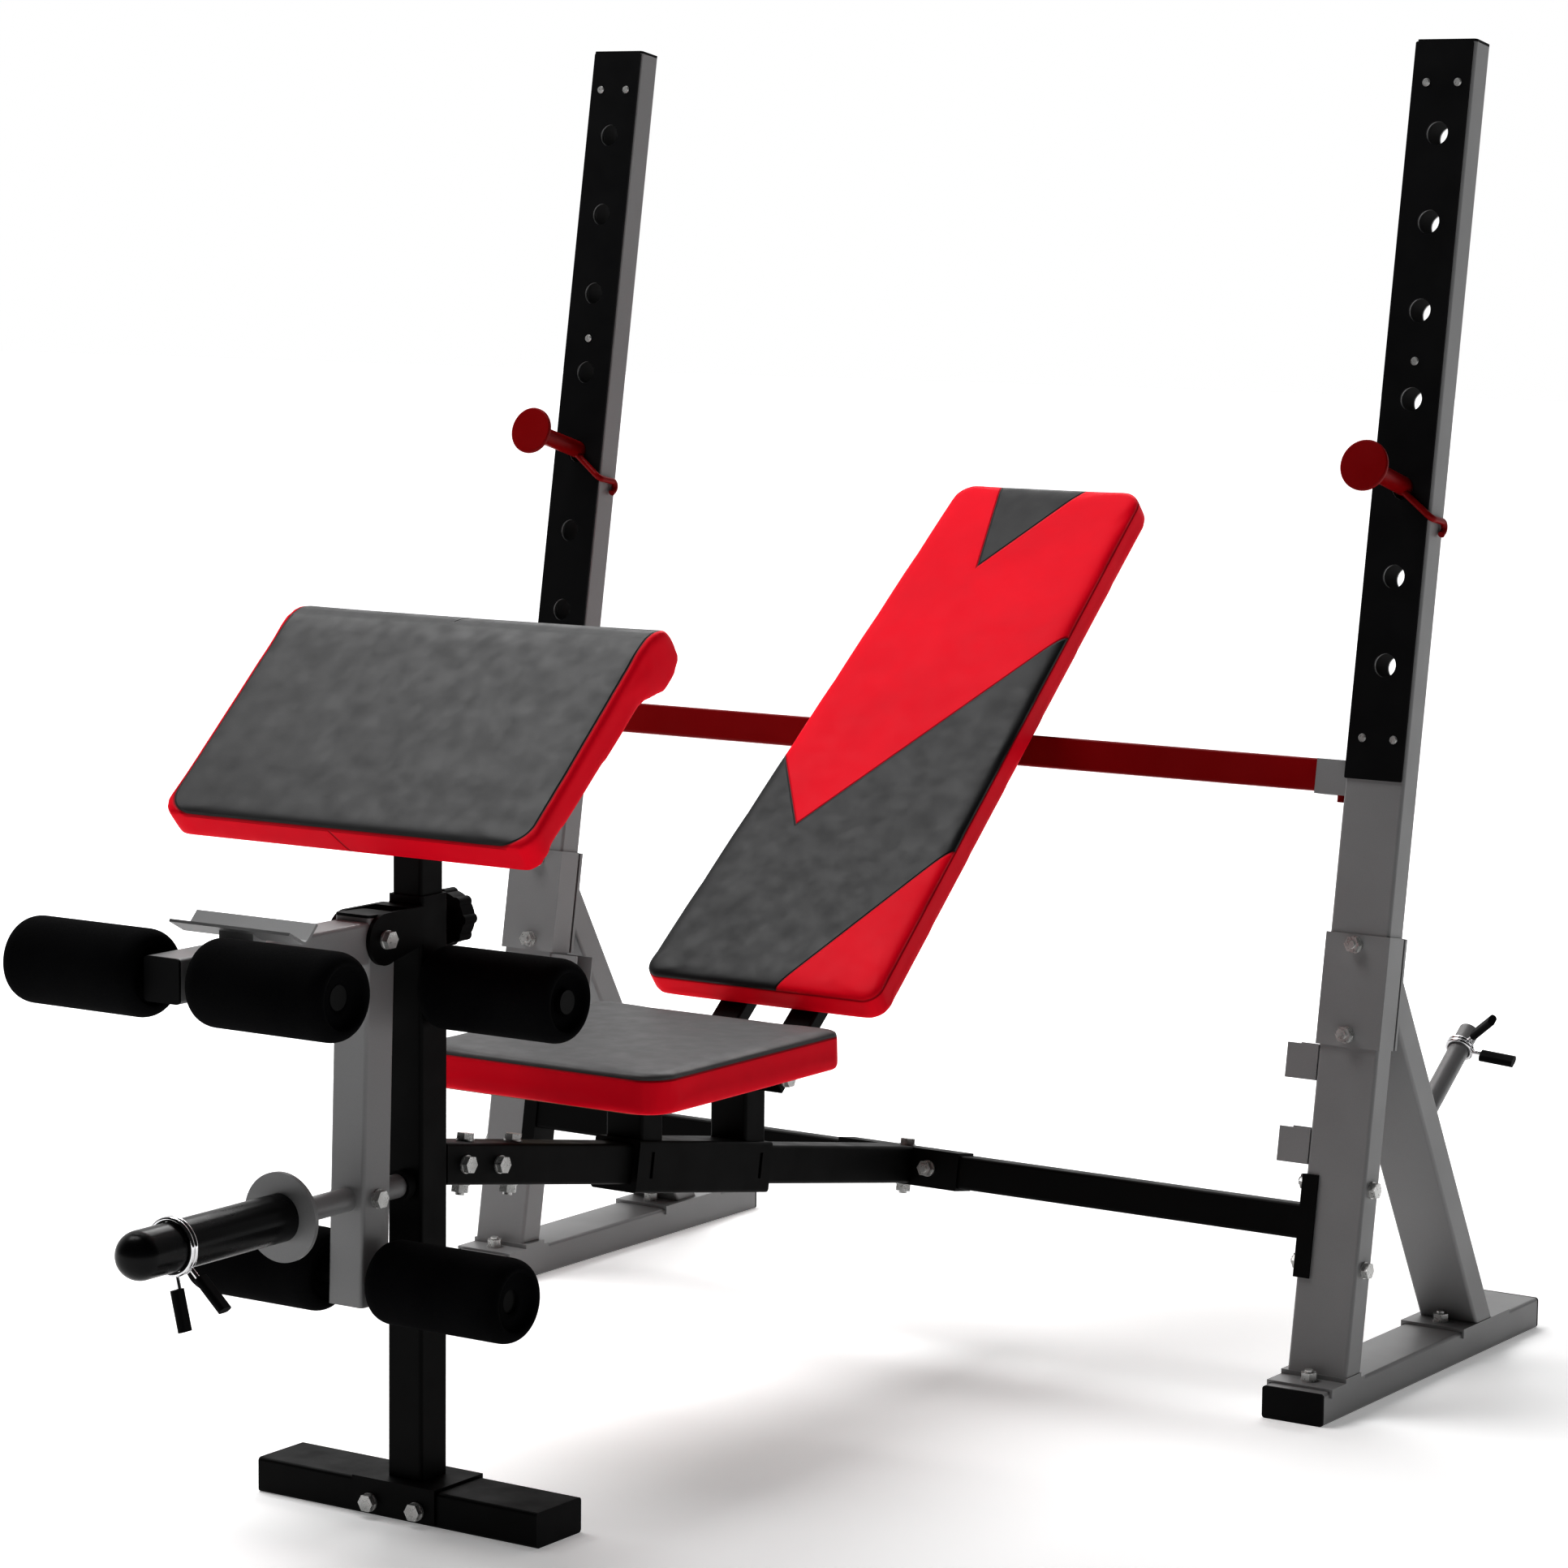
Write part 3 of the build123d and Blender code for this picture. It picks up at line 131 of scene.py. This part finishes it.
def surface(name, dark, light, rough, specular=0.5, metallic=0.0, grain=900.0, grain_depth=0.00006,
            grain_strength=0.25, cloud=6.0):
    """Painted, plated or moulded surface: cloudy colour, uneven gloss and a fine grain."""
    material, tree, shader, place = new_material(name, specular, metallic)
    clouds = noise(tree, place, cloud, 4.0)
    fine = noise(tree, place, grain, 2.0)
    both = math_node(tree, "MULTIPLY_ADD", fine, 0.35, math_node(tree, "MULTIPLY", clouds, 0.65))
    color = mix(tree, remap(tree, both, 0.35, 0.65, 0.0, 1.0), dark, light)
    tree.links.new(color, shader.inputs["Base Color"])
    gloss = remap(tree, noise(tree, place, cloud * 4, 5.0), 0.3, 0.7, rough[0], rough[1])
    tree.links.new(gloss, shader.inputs["Roughness"])
    tree.links.new(bump(tree, fine, grain_strength, grain_depth), shader.inputs["Normal"])
    return material


# the pads' black: one black vinyl, made lighter on the seat and darker on the backrest as painted
# light and shade, each as light as the pad looks under its own share of the light
SEAT_BLACK_PAINTED_LIGHT = (0.085, 0.085, 0.086)
CURL_BLACK_PAINTED_LIGHT = (0.044, 0.044, 0.045)
BACK_BLACK_PAINTED_SHADE = (0.012, 0.012, 0.013)
RED = (0.90, 0.003, 0.028)
# near-black painted shade laid into the seams' grooves
SEAM_SHADE = (0.006, 0.002, 0.002)
BLACK_SHEEN, RED_SHEEN = 0.28, 0.06
SEAM_FLOOR, SEAM_EDGE = 0.0004, 0.0022     # half widths of a seam's groove
PANEL_EDGE = 0.0003                        # half width of the change of colour


def vinyl(name, regions, base, seams=()):
    """Grained vinyl, black and red. base is the black, which each pad gets lighter or darker as
    painted light and shade. regions gives the field that is positive where the red lies, and seams
    the other fields whose zero line is a sewn seam."""
    material, tree, shader, place = new_material(name)
    axes = tree.nodes.new("ShaderNodeSeparateXYZ")
    tree.links.new(place, axes.inputs[0])
    x, y, z = axes.outputs
    field = regions(tree, x, y, z)
    lines = [field] + [seam(tree, x, y, z) for seam in seams]
    groove = None
    for line in lines:
        away = math_node(tree, "ABSOLUTE", line)
        near = remap(tree, away, SEAM_FLOOR, SEAM_EDGE, 0.0, 1.0)
        groove = near if groove is None else math_node(tree, "MINIMUM", groove, near)
    mask = remap(tree, field, -PANEL_EDGE, PANEL_EDGE, 0.0, 1.0)
    sheen = remap(tree, mask, 0.0, 1.0, BLACK_SHEEN, RED_SHEEN)
    tree.links.new(sheen, shader.inputs["Specular IOR Level"])
    clouds = noise(tree, place, 9.0, 4.0)
    # the black holds painted light and shade: its lightness is set per pad, with a small random
    # cloudiness on top
    black_with_painted_light = mix(tree, remap(tree, clouds, 0.3, 0.7, 0.0, 1.0),
                     tuple(c * 0.93 for c in base), tuple(c * 1.08 for c in base))
    red_color = mix(tree, remap(tree, clouds, 0.3, 0.7, 0.0, 1.0),
                    tuple(c * 0.93 for c in RED), tuple(c * 1.05 for c in RED))
    color = mix(tree, mask, black_with_painted_light, red_color)
    # painted shade: the colour darkens towards the near-black seam colour across each seam's groove
    seam_shaded = mix(tree, remap(tree, groove, 0.0, 1.0, 0.55, 1.0), SEAM_SHADE, color)
    tree.links.new(seam_shaded, shader.inputs["Base Color"])
    cells = voronoi(tree, place, 620.0)
    fine = noise(tree, place, 1500.0, 2.0)
    grain = math_node(tree, "ADD", cells, math_node(tree, "MULTIPLY", fine, 0.4))
    gloss = remap(tree, noise(tree, place, 40.0, 5.0), 0.3, 0.7, 0.40, 0.52)
    tree.links.new(gloss, shader.inputs["Roughness"])
    pulls = noise(tree, place, 26.0, 3.0, 0.55)
    normal = bump(tree, pulls, 0.06, 0.002)
    normal = bump(tree, grain, 0.16, 0.00012, normal)
    normal = bump(tree, groove, 0.9, 0.0012, normal)
    tree.links.new(normal, shader.inputs["Normal"])
    return material


def foam_material():
    material, tree, shader, place = new_material("foam_rubber", 0.03)
    cells = voronoi(tree, place, 520.0)
    fine = noise(tree, place, 900.0, 3.0)
    clouds = noise(tree, place, 14.0, 4.0)
    color = mix(tree, remap(tree, clouds, 0.3, 0.7, 0.0, 1.0), (0.0025, 0.0025, 0.003),
                (0.006, 0.006, 0.0065))
    tree.links.new(color, shader.inputs["Base Color"])
    tree.links.new(remap(tree, fine, 0.3, 0.7, 0.72, 0.9), shader.inputs["Roughness"])
    normal = bump(tree, clouds, 0.15, 0.002)
    tree.links.new(bump(tree, math_node(tree, "ADD", cells, fine), 0.4, 0.0003, normal),
                   shader.inputs["Normal"])
    return material


paint_grey = surface("silver_grey_paint", (0.26, 0.26, 0.262), (0.30, 0.30, 0.302), (0.36, 0.46),
                     0.40, 0.15, grain=1400, grain_strength=0.12, cloud=4)
paint_black = surface("black_powder_coat", (0.002, 0.002, 0.002), (0.004, 0.004, 0.004),
                      (0.42, 0.55), 0.10, grain=1100, grain_strength=0.35)
paint_plate = surface("black_plate_paint", (0.004, 0.004, 0.0045), (0.007, 0.007, 0.0075),
                      (0.40, 0.50), 0.10, grain=1000, grain_strength=0.3)
paint_red = surface("dark_red_paint", (0.22, 0.001, 0.002), (0.27, 0.001, 0.003), (0.30, 0.40),
                    0.12, grain=1300, grain_strength=0.15)
zinc = surface("zinc_plate", (0.46, 0.46, 0.45), (0.70, 0.70, 0.69), (0.24, 0.36), 0.5, 0.6,
               grain=1600, grain_strength=0.3, cloud=60)
chrome = surface("chrome", (0.70, 0.70, 0.71), (0.80, 0.80, 0.81), (0.06, 0.12), 0.5, 1.0,
                 grain=1600, grain_strength=0.05, cloud=30)
plastic = surface("black_plastic", (0.003, 0.003, 0.0035), (0.007, 0.007, 0.0075), (0.45, 0.62), 0.10,
                  grain=1400, grain_strength=0.45)
gloss = surface("gloss_black_sleeve", (0.003, 0.003, 0.0035), (0.006, 0.006, 0.0065), (0.24, 0.32),
                0.22, grain=1200, grain_strength=0.06)
rubber = surface("bumper_rubber", (0.005, 0.005, 0.005), (0.009, 0.009, 0.009), (0.7, 0.85), 0.1,
                 grain=800, grain_strength=0.5)
wood = surface("plywood", (0.26, 0.16, 0.08), (0.42, 0.28, 0.15), (0.6, 0.8), 0.3, grain=300,
               grain_strength=0.4, cloud=25)
foam = foam_material()

FINISH = {"grey_paint": paint_grey, "black_paint": paint_black, "dark_red_paint": paint_red,
          "zinc": zinc, "chrome": chrome, "foam": foam, "plywood": wood, "gloss_black": gloss,
          "rubber": rubber, "black_plastic": plastic}


def dress_cad_nodes():
    """Gives each CAD node the finish made here for its slot, if there is one, and the painted and
    plastic ones a small rounding on their hard edges.
    """
    slots = {s["node"]: s["material_slot"] for s in frame["record"]["subparts"]}
    for name, node in frame["nodes"].items():
        material = paint_plate if name == "front_plates" else FINISH.get(slots[name])
        if material:
            node.data.materials.clear()
            node.data.materials.append(material)
        if slots[name] in ("grey_paint", "black_paint", "dark_red_paint", "black_plastic"):
            bevel = node.modifiers.new("edge", "BEVEL")
            bevel.width = 0.0006
            bevel.segments = 2
            bevel.limit_method = "ANGLE"
            bevel.angle_limit = radians(50)
            bevel.harden_normals = False


# ---------------------------------------------------------------- cushions
def object_from(name, mesh):
    obj = bpy.data.objects.new(name, mesh)
    scene.collection.objects.link(obj)
    return obj


def only_select(obj):
    for other in bpy.context.view_layer.objects:
        other.select_set(False)
    obj.select_set(True)
    bpy.context.view_layer.objects.active = obj


def apply_all(obj):
    graph = bpy.context.evaluated_depsgraph_get()
    mesh = bpy.data.meshes.new_from_object(obj.evaluated_get(graph))
    obj.modifiers.clear()
    obj.data = mesh


def prism(points, low, high, axis):
    """Closed prism over a 2-D outline; axis 'z' stands it up, axis 'x' lays it along X."""
    build = bmesh.new()
    place = (lambda u, v, h: (u, v, h)) if axis == "z" else (lambda u, v, h: (h, u, v))
    rings = [[build.verts.new(place(u, v, h)) for u, v in points] for h in (low, high)]
    count = len(points)
    for i in range(count):
        j = (i + 1) % count
        build.faces.new((rings[0][i], rings[0][j], rings[1][j], rings[1][i]))
    build.faces.new(rings[0])
    build.faces.new(rings[1])
    bmesh.ops.recalc_face_normals(build, faces=build.faces)
    mesh = bpy.data.meshes.new("prism")
    build.to_mesh(mesh)
    build.free()
    return mesh


def rounded(corners, radius, steps=10):
    """Outline with rounded corners. radius is one number, or one for each corner."""
    radii = radius if isinstance(radius, (list, tuple)) else [radius] * len(corners)
    outline = []
    for i, corner in enumerate(corners):
        here = Vector(corner)
        before = (Vector(corners[i - 1]) - here).normalized()
        after = (Vector(corners[(i + 1) % len(corners)]) - here).normalized()
        half = before.angle(after) / 2
        r = radii[i]
        reach = r / max(1e-6, abs(sin(half) / cos(half)))
        middle = here + (before + after).normalized() * (r / sin(half))
        start, end = here + before * reach - middle, here + after * reach - middle
        for k in range(steps + 1):
            point = start.lerp(end, k / steps).normalized() * r + middle
            outline.append((point.x, point.y))
    return outline


SWELL = 0.0013          # how far the cloth may swell out of its block
EDGE_ROUND = 0.006      # rounding of the block's edges
VOXEL = 0.004
PRESSURE = 4.0
CLOTH_FRAMES = 20
BACK_GAP = 0.0015       # from the back of a pad's solid to the back of its cushion
HELD = 0.004            # the cloth is held up to this height above the solid's back


def plump(obj, pinned):
    """Rounds a block, swells it as cloth with its back held, and smooths it."""
    edge = obj.modifiers.new("edge", "BEVEL")
    edge.width = EDGE_ROUND
    edge.segments = 4
    edge.limit_method = "ANGLE"
    edge.angle_limit = radians(50)
    remesh = obj.modifiers.new("remesh", "REMESH")
    remesh.mode = "VOXEL"
    remesh.voxel_size = VOXEL
    apply_all(obj)
    smooth = obj.modifiers.new("smooth", "SMOOTH")
    smooth.iterations = 2
    smooth.factor = 0.5
    apply_all(obj)
    rest = [v.co.copy() for v in obj.data.vertices]
    held = obj.vertex_groups.new(name="held")
    held.add([i for i, co in enumerate(rest) if pinned(co)], 1.0, "REPLACE")
    cloth = obj.modifiers.new("cloth", "CLOTH")
    cloth.settings.quality = 4
    cloth.settings.mass = 0.3
    cloth.settings.tension_stiffness = 12
    cloth.settings.compression_stiffness = 12
    cloth.settings.bending_stiffness = 2
    cloth.settings.use_pressure = True
    cloth.settings.uniform_pressure_force = PRESSURE
    cloth.settings.effector_weights.gravity = 0
    cloth.settings.vertex_group_mass = "held"
    cloth.point_cache.frame_start = 1
    cloth.point_cache.frame_end = CLOTH_FRAMES
    for step in range(CLOTH_FRAMES):
        scene.frame_set(step + 1)
    graph = bpy.context.evaluated_depsgraph_get()
    swollen = obj.evaluated_get(graph).to_mesh()
    moved = [v.co.copy() for v in swollen.vertices]
    obj.evaluated_get(graph).to_mesh_clear()
    obj.modifiers.clear()
    obj.vertex_groups.clear()
    for vertex, start, end in zip(obj.data.vertices, rest, moved):
        step = end - start
        length = step.length
        if length > 1e-9:
            vertex.co = start + step * (SWELL * (1 - exp(-length / SWELL)) / length)
    scene.frame_set(1)
    smooth = obj.modifiers.new("smooth", "SMOOTH")
    smooth.iterations = 2
    apply_all(obj)
    fine = obj.modifiers.new("fine", "SUBSURF")
    fine.levels = 1
    fine.render_levels = 1
    apply_all(obj)
    for polygon in obj.data.polygons:
        polygon.use_smooth = True


def finish_cushion(obj, matrix, node, body, material):
    obj.data.transform(matrix)
    obj.data.materials.clear()
    obj.data.materials.append(material)
    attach(obj, body)
    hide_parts(node)


def basis(x_axis, y_axis, z_axis, origin):
    matrix = Matrix((x_axis, y_axis, z_axis)).transposed().to_4x4()
    matrix.translation = origin
    return matrix


# seat: level pad, black top panel in a red band
seat_low, seat_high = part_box("seat_pad")
SEAT_SEAM = 0.4503      # height of the seam between the panel and the band
SEAT_FRONT_CORNER, SEAT_REAR_CORNER = 0.036, 0.014


def make_seat():
    half = (seat_high[0] - seat_low[0]) / 2 + 0.001
    deep = (seat_high[1] - seat_low[1]) / 2 - SWELL
    rear = deep + 0.006
    outline = rounded([(-half, -deep), (half, -deep), (half, rear), (-half, rear)],
                      [SEAT_FRONT_CORNER] * 2 + [SEAT_REAR_CORNER] * 2)
    mesh = prism(outline, BACK_GAP, seat_high[2] - seat_low[2] - SWELL, "z")
    obj = object_from("seat_cushion", mesh)
    plump(obj, lambda co: co.z < HELD)
    middle = Vector(((seat_low[0] + seat_high[0]) / 2, (seat_low[1] + seat_high[1]) / 2,
                     seat_low[2]))
    material = vinyl("seat_vinyl", lambda t, x, y, z: math_node(t, "SUBTRACT", SEAT_SEAM, z),
                     SEAT_BLACK_PAINTED_LIGHT)
    finish_cushion(obj, Matrix.Translation(middle), "seat_pad", "carriage", material)


# backrest: tapered pad with a two-colour front and a red band
BACK_TILT = radians(50.2)
BACK_UP = Vector((0, sin(BACK_TILT), cos(BACK_TILT)))
BACK_OUT = Vector((0, -cos(BACK_TILT), sin(BACK_TILT)))
BACK_BASE = Vector((0, 0.1334, 0.485))
BACK_LONG, BACK_THICK = 0.861, 0.0413
BACK_HALF = (0.1665, 0.1367)      # half widths of the lower and the upper end
BACK_SEAM = -0.0075               # level of the seam between the face and the band
BACK_OVERHANG = 0.006             # of the lower end below the base
BACK_LOW_CORNER, BACK_TOP_CORNER = 0.022, 0.030


def along(tree, x, y, z, direction, base):
    """Distance of a point along a direction from a base point."""
    shifted = [math_node(tree, "SUBTRACT", c, b) for c, b in zip((y, z), base[1:])]
    return math_node(tree, "ADD", math_node(tree, "MULTIPLY", shifted[0], direction[1]),
                     math_node(tree, "MULTIPLY", shifted[1], direction[2]))


def above_line(tree, x, s, first, second):
    """Signed distance above the line through two (x, s) points."""
    slope = (second[1] - first[1]) / (second[0] - first[0])
    level = math_node(tree, "MULTIPLY_ADD", x, slope, first[1] - slope * first[0])
    return math_node(tree, "DIVIDE", math_node(tree, "SUBTRACT", s, level),
                     sqrt(1 + slope * slope))


def back_regions(tree, x, y, z):
    s = along(tree, x, y, z, BACK_UP, BACK_BASE)
    out = along(tree, x, y, z, BACK_OUT, BACK_BASE)
    upper = math_node(tree, "MINIMUM",
                      above_line(tree, x, s, (-0.149, 0.364), (-0.073, 0.249)),
                      above_line(tree, x, s, (-0.073, 0.249), (0.149, 0.608)))
    wedge = math_node(tree, "MINIMUM",
                      above_line(tree, x, s, (-0.036, 0.706), (-0.069, 0.848)),
                      above_line(tree, x, s, (-0.036, 0.706), (0.051, 0.851)))
    corner = math_node(tree, "MULTIPLY",
                       above_line(tree, x, s, (0.155, 0.235), (0.028, -0.001)), -1.0)
    front = math_node(tree, "MINIMUM", upper, math_node(tree, "MULTIPLY", wedge, -1.0))
    front = math_node(tree, "MAXIMUM", front, corner)
    band = math_node(tree, "SUBTRACT", BACK_SEAM, out)
    return math_node(tree, "MAXIMUM", front, band)


def back_edge_seam(tree, x, y, z):
    return math_node(tree, "SUBTRACT", BACK_SEAM, along(tree, x, y, z, BACK_OUT, BACK_BASE))


def make_backrest():
    low, high = BACK_HALF[0] - SWELL, BACK_HALF[1] - SWELL
    top = BACK_LONG - SWELL
    outline = rounded([(-low, -BACK_OVERHANG), (low, -BACK_OVERHANG), (high, top), (-high, top)],
                      [BACK_LOW_CORNER] * 2 + [BACK_TOP_CORNER] * 2)
    obj = object_from("backrest_cushion", prism(outline, BACK_GAP - BACK_THICK, -SWELL, "z"))
    plump(obj, lambda co: co.z < HELD - BACK_THICK)
    material = vinyl("backrest_vinyl", back_regions, BACK_BLACK_PAINTED_SHADE, (back_edge_seam,))
    finish_cushion(obj, basis(Vector((1, 0, 0)), BACK_UP, BACK_OUT, BACK_BASE),
                   "backrest_pad", "backrest", material)


# arm-curl pad: black face rolled over the top, red ends and lower band
CURL_TILT = radians(46.98)
CURL_UP = Vector((0, sin(CURL_TILT), cos(CURL_TILT)))
CURL_OUT = Vector((0, -cos(CURL_TILT), sin(CURL_TILT)))
CURL_BASE = Vector((0, -0.6344, 0.7451))
CURL_HALF = 0.2433
CURL_END = CURL_HALF - 0.0095     # half width of the black panel
CURL_PANEL_LOW = 0.002            # where the black panel starts above the lower end
CURL_PANEL_CORNER = 0.030
CURL_BAND = -0.0055               # level of the seam between the face and the lower band
CURL_CORNERS = [0.026, 0.026, 0.022, 0.022]


def curl_regions(tree, x, y, z):
    s = along(tree, x, y, z, CURL_UP, CURL_BASE)
    out = along(tree, x, y, z, CURL_OUT, CURL_BASE)
    corner = CURL_PANEL_CORNER
    aside = math_node(tree, "SUBTRACT", math_node(tree, "ABSOLUTE", x), CURL_END - corner)
    below = math_node(tree, "SUBTRACT", CURL_PANEL_LOW + corner, s)
    squares = []
    for distance in (aside, below):
        outside = math_node(tree, "MAXIMUM", 0.0, distance)
        squares.append(math_node(tree, "MULTIPLY", outside, outside))
    reach = math_node(tree, "SQRT", math_node(tree, "ADD", *squares))
    ends = math_node(tree, "SUBTRACT", reach, corner)
    band = math_node(tree, "MINIMUM", math_node(tree, "SUBTRACT", CURL_BAND, out),
                     math_node(tree, "SUBTRACT", 0.10, s))
    return math_node(tree, "MAXIMUM", ends, band)


def curl_band_seam(tree, x, y, z):
    out = along(tree, x, y, z, CURL_OUT, CURL_BASE)
    slant = math_node(tree, "MULTIPLY_ADD", out, 0.6, math_node(tree, "ADD", x, 0.020))
    above = math_node(tree, "ADD", out, 0.0065)
    return math_node(tree, "MAXIMUM", math_node(tree, "ABSOLUTE", slant), above)


def make_curl_pad():
    profile = [(0.0, -0.0015), (0.266, -0.0015), (0.286, -0.0035), (0.300, -0.0085),
               (0.311, -0.0165), (0.3175, -0.027), (0.3165, -0.041), (0.3065, -0.0555),
               (0.289, -0.0625), (0.2665, -0.0615), (0.2375, -0.0445), (0.227, -0.0395),
               (0.030, -0.031), (-0.003, -0.0405)]
    wide = CURL_HALF - SWELL
    obj = object_from("arm_curl_cushion", prism(rounded(profile, 0.003, 4), -wide, wide, "x"))
    face = prism(rounded([(-wide, -0.0035), (wide, -0.0035), (wide, 0.322), (-wide, 0.322)],
                         CURL_CORNERS), -0.08, 0.02, "z")
    cutter = object_from("cutter", face)
    trim = obj.modifiers.new("trim", "BOOLEAN")
    trim.operation = "INTERSECT"
    trim.solver = "EXACT"
    trim.object = cutter
    apply_all(obj)
    bpy.data.objects.remove(cutter)

    def held(co):
        return co.z < -0.027 and 0.01 < co.y < 0.235 and abs(co.x) < wide - 0.012
    plump(obj, held)
    material = vinyl("arm_curl_vinyl", curl_regions, CURL_BLACK_PAINTED_LIGHT, (curl_band_seam,))
    finish_cushion(obj, basis(Vector((1, 0, 0)), CURL_UP, CURL_OUT, CURL_BASE),
                   "curl_pad", "mast", material)


# ---------------------------------------------------------------- foam rollers
ROLLER_BORE = 0.01258
ROLLER_RIM, ROLLER_FACE = 0.017, 0.034      # depth of the rounded rim, and where it starts


def make_roller(node):
    """Foam turned about X: a dished end, a rounded rim, a plain length, and the same again."""
    low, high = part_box(node)
    middle = [(a + b) / 2 for a, b in zip(low, high)]
    half, outer = (high[0] - low[0]) / 2 - 0.002, (high[2] - low[2]) / 2
    bore, rim, face = ROLLER_BORE, ROLLER_RIM, ROLLER_FACE
    side = [(half - rim * (1 - cos(k * pi / 16)), face + (outer - face) * sin(k * pi / 16))
            for k in range(9)]
    dish = [(half - 0.010, bore), (half - 0.010, 0.020), (half - 0.0096, 0.0262),
            (half - 0.0075, 0.0292), (half - 0.003, 0.0305), (half - 0.0008, 0.0318)]
    right = dish + side
    steps = [(half - rim - k * 2 * (half - rim) / 14, outer) for k in range(1, 14)]
    left = [(-x, r) for x, r in reversed(right)]
    profile = right + steps + left
    build = bmesh.new()
    rings = []
    turns = 96
    for k in range(turns):
        angle = 2 * pi * k / turns
        rings.append([build.verts.new((middle[0] + x, middle[1] + r * cos(angle),
                                       middle[2] + r * sin(angle))) for x, r in profile])
    for k in range(turns):
        here, there = rings[k], rings[(k + 1) % turns]
        for i in range(len(profile)):
            j = (i + 1) % len(profile)
            build.faces.new((here[i], here[j], there[j], there[i]))
    bmesh.ops.recalc_face_normals(build, faces=build.faces)
    mesh = bpy.data.meshes.new(node + "_foam")
    build.to_mesh(mesh)
    build.free()
    for polygon in mesh.polygons:
        polygon.use_smooth = True
    obj = object_from(node + "_foam", mesh)
    mesh.materials.append(foam)
    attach(obj, node)
    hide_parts(node)


# ---------------------------------------------------------------- stage, light, camera
def make_stage():
    mesh = bpy.data.meshes.new("floor")
    size = 30.0
    mesh.from_pydata([(-size, -size, 0), (size, -size, 0), (size, size, 0), (-size, size, 0)], [],
                     [(0, 1, 2, 3)])
    floor = object_from("floor", mesh)
    material = bpy.data.materials.new("pale_floor")
    material.use_nodes = True
    shader = material.node_tree.nodes["Principled BSDF"]
    tree = material.node_tree
    shader.inputs["Base Color"].default_value = (0.92, 0.92, 0.92, 1)
    shader.inputs["Roughness"].default_value = 0.9
    shader.inputs["Specular IOR Level"].default_value = 0.0
    shader.inputs["Emission Color"].default_value = (1, 1, 1, 1)
    # the sweep glows more and more away from the bench, so that it meets the backdrop unseen
    place = tree.nodes.new("ShaderNodeTexCoord").outputs["Object"]
    away = tree.nodes.new("ShaderNodeVectorMath")
    away.operation = "LENGTH"
    tree.links.new(place, away.inputs[0])
    glow = remap(tree, away.outputs["Value"], 1.3, 4.5, 0.30, 1.0)
    tree.links.new(glow, shader.inputs["Emission Strength"])
    mesh.materials.append(material)


def area_light(name, place, target, size, power):
    light = bpy.data.lights.new(name, "AREA")
    light.shape = "RECTANGLE"
    light.size, light.size_y = size
    light.energy = power
    obj = object_from(name, light)
    obj.location = place
    obj.rotation_euler = (Vector(target) - Vector(place)).to_track_quat("-Z", "Y").to_euler()


def make_light():
    """White backdrop behind the bench, a dim room in front of it and two softboxes."""
    world = bpy.data.worlds.new("studio")
    scene.world = world
    world.use_nodes = True
    tree = world.node_tree
    background = tree.nodes["Background"]
    background.inputs["Color"].default_value = (1, 1, 1, 1)
    towards = tree.nodes.new("ShaderNodeVectorMath")
    towards.operation = "DOT_PRODUCT"
    towards.inputs[1].default_value = (-0.552, 0.834, 0)
    tree.links.new(tree.nodes.new("ShaderNodeTexCoord").outputs["Generated"], towards.inputs[0])
    level = remap(tree, towards.outputs["Value"], 0.1, 0.6, 0.02, 1.0)
    tree.links.new(level, background.inputs["Strength"])
    area_light("overhead", (-1.6, -0.3, 4.0), (0, -0.1, 0.4), (2.4, 2.4), 125)
    area_light("rear", (-1.2, 3.2, 3.4), (0, 0, 0.7), (3.0, 1.5), 70)
    scene.view_settings.view_transform = "Standard"
    scene.view_settings.gamma = 0.78


LENS = 104.84
CAMERA_PLACE = Vector((2.9226, -4.2265, 1.3607))


def make_camera():
    turn, tip, roll = radians(33.51), radians(-6.99), radians(0.596)
    level = Vector((-sin(turn), cos(turn), 0))
    right = Vector((cos(turn), sin(turn), 0))
    forward = cos(tip) * level + sin(tip) * Vector((0, 0, 1))
    up = -sin(tip) * level + cos(tip) * Vector((0, 0, 1))
    x_axis = cos(roll) * right + sin(roll) * up
    y_axis = -sin(roll) * right + cos(roll) * up
    data = bpy.data.cameras.new("camera")
    data.sensor_width = 36
    data.lens = LENS
    data.clip_end = 200
    obj = object_from("camera", data)
    obj.matrix_world = basis(x_axis, y_axis, -forward, CAMERA_PLACE)
    scene.camera = obj


dress_cad_nodes()
make_seat()
make_backrest()
make_curl_pad()
for level in ("upper", "middle", "lower"):
    for hand in ("left", "right"):
        make_roller(level + "_roller_" + hand)
make_stage()
make_light()
make_camera()
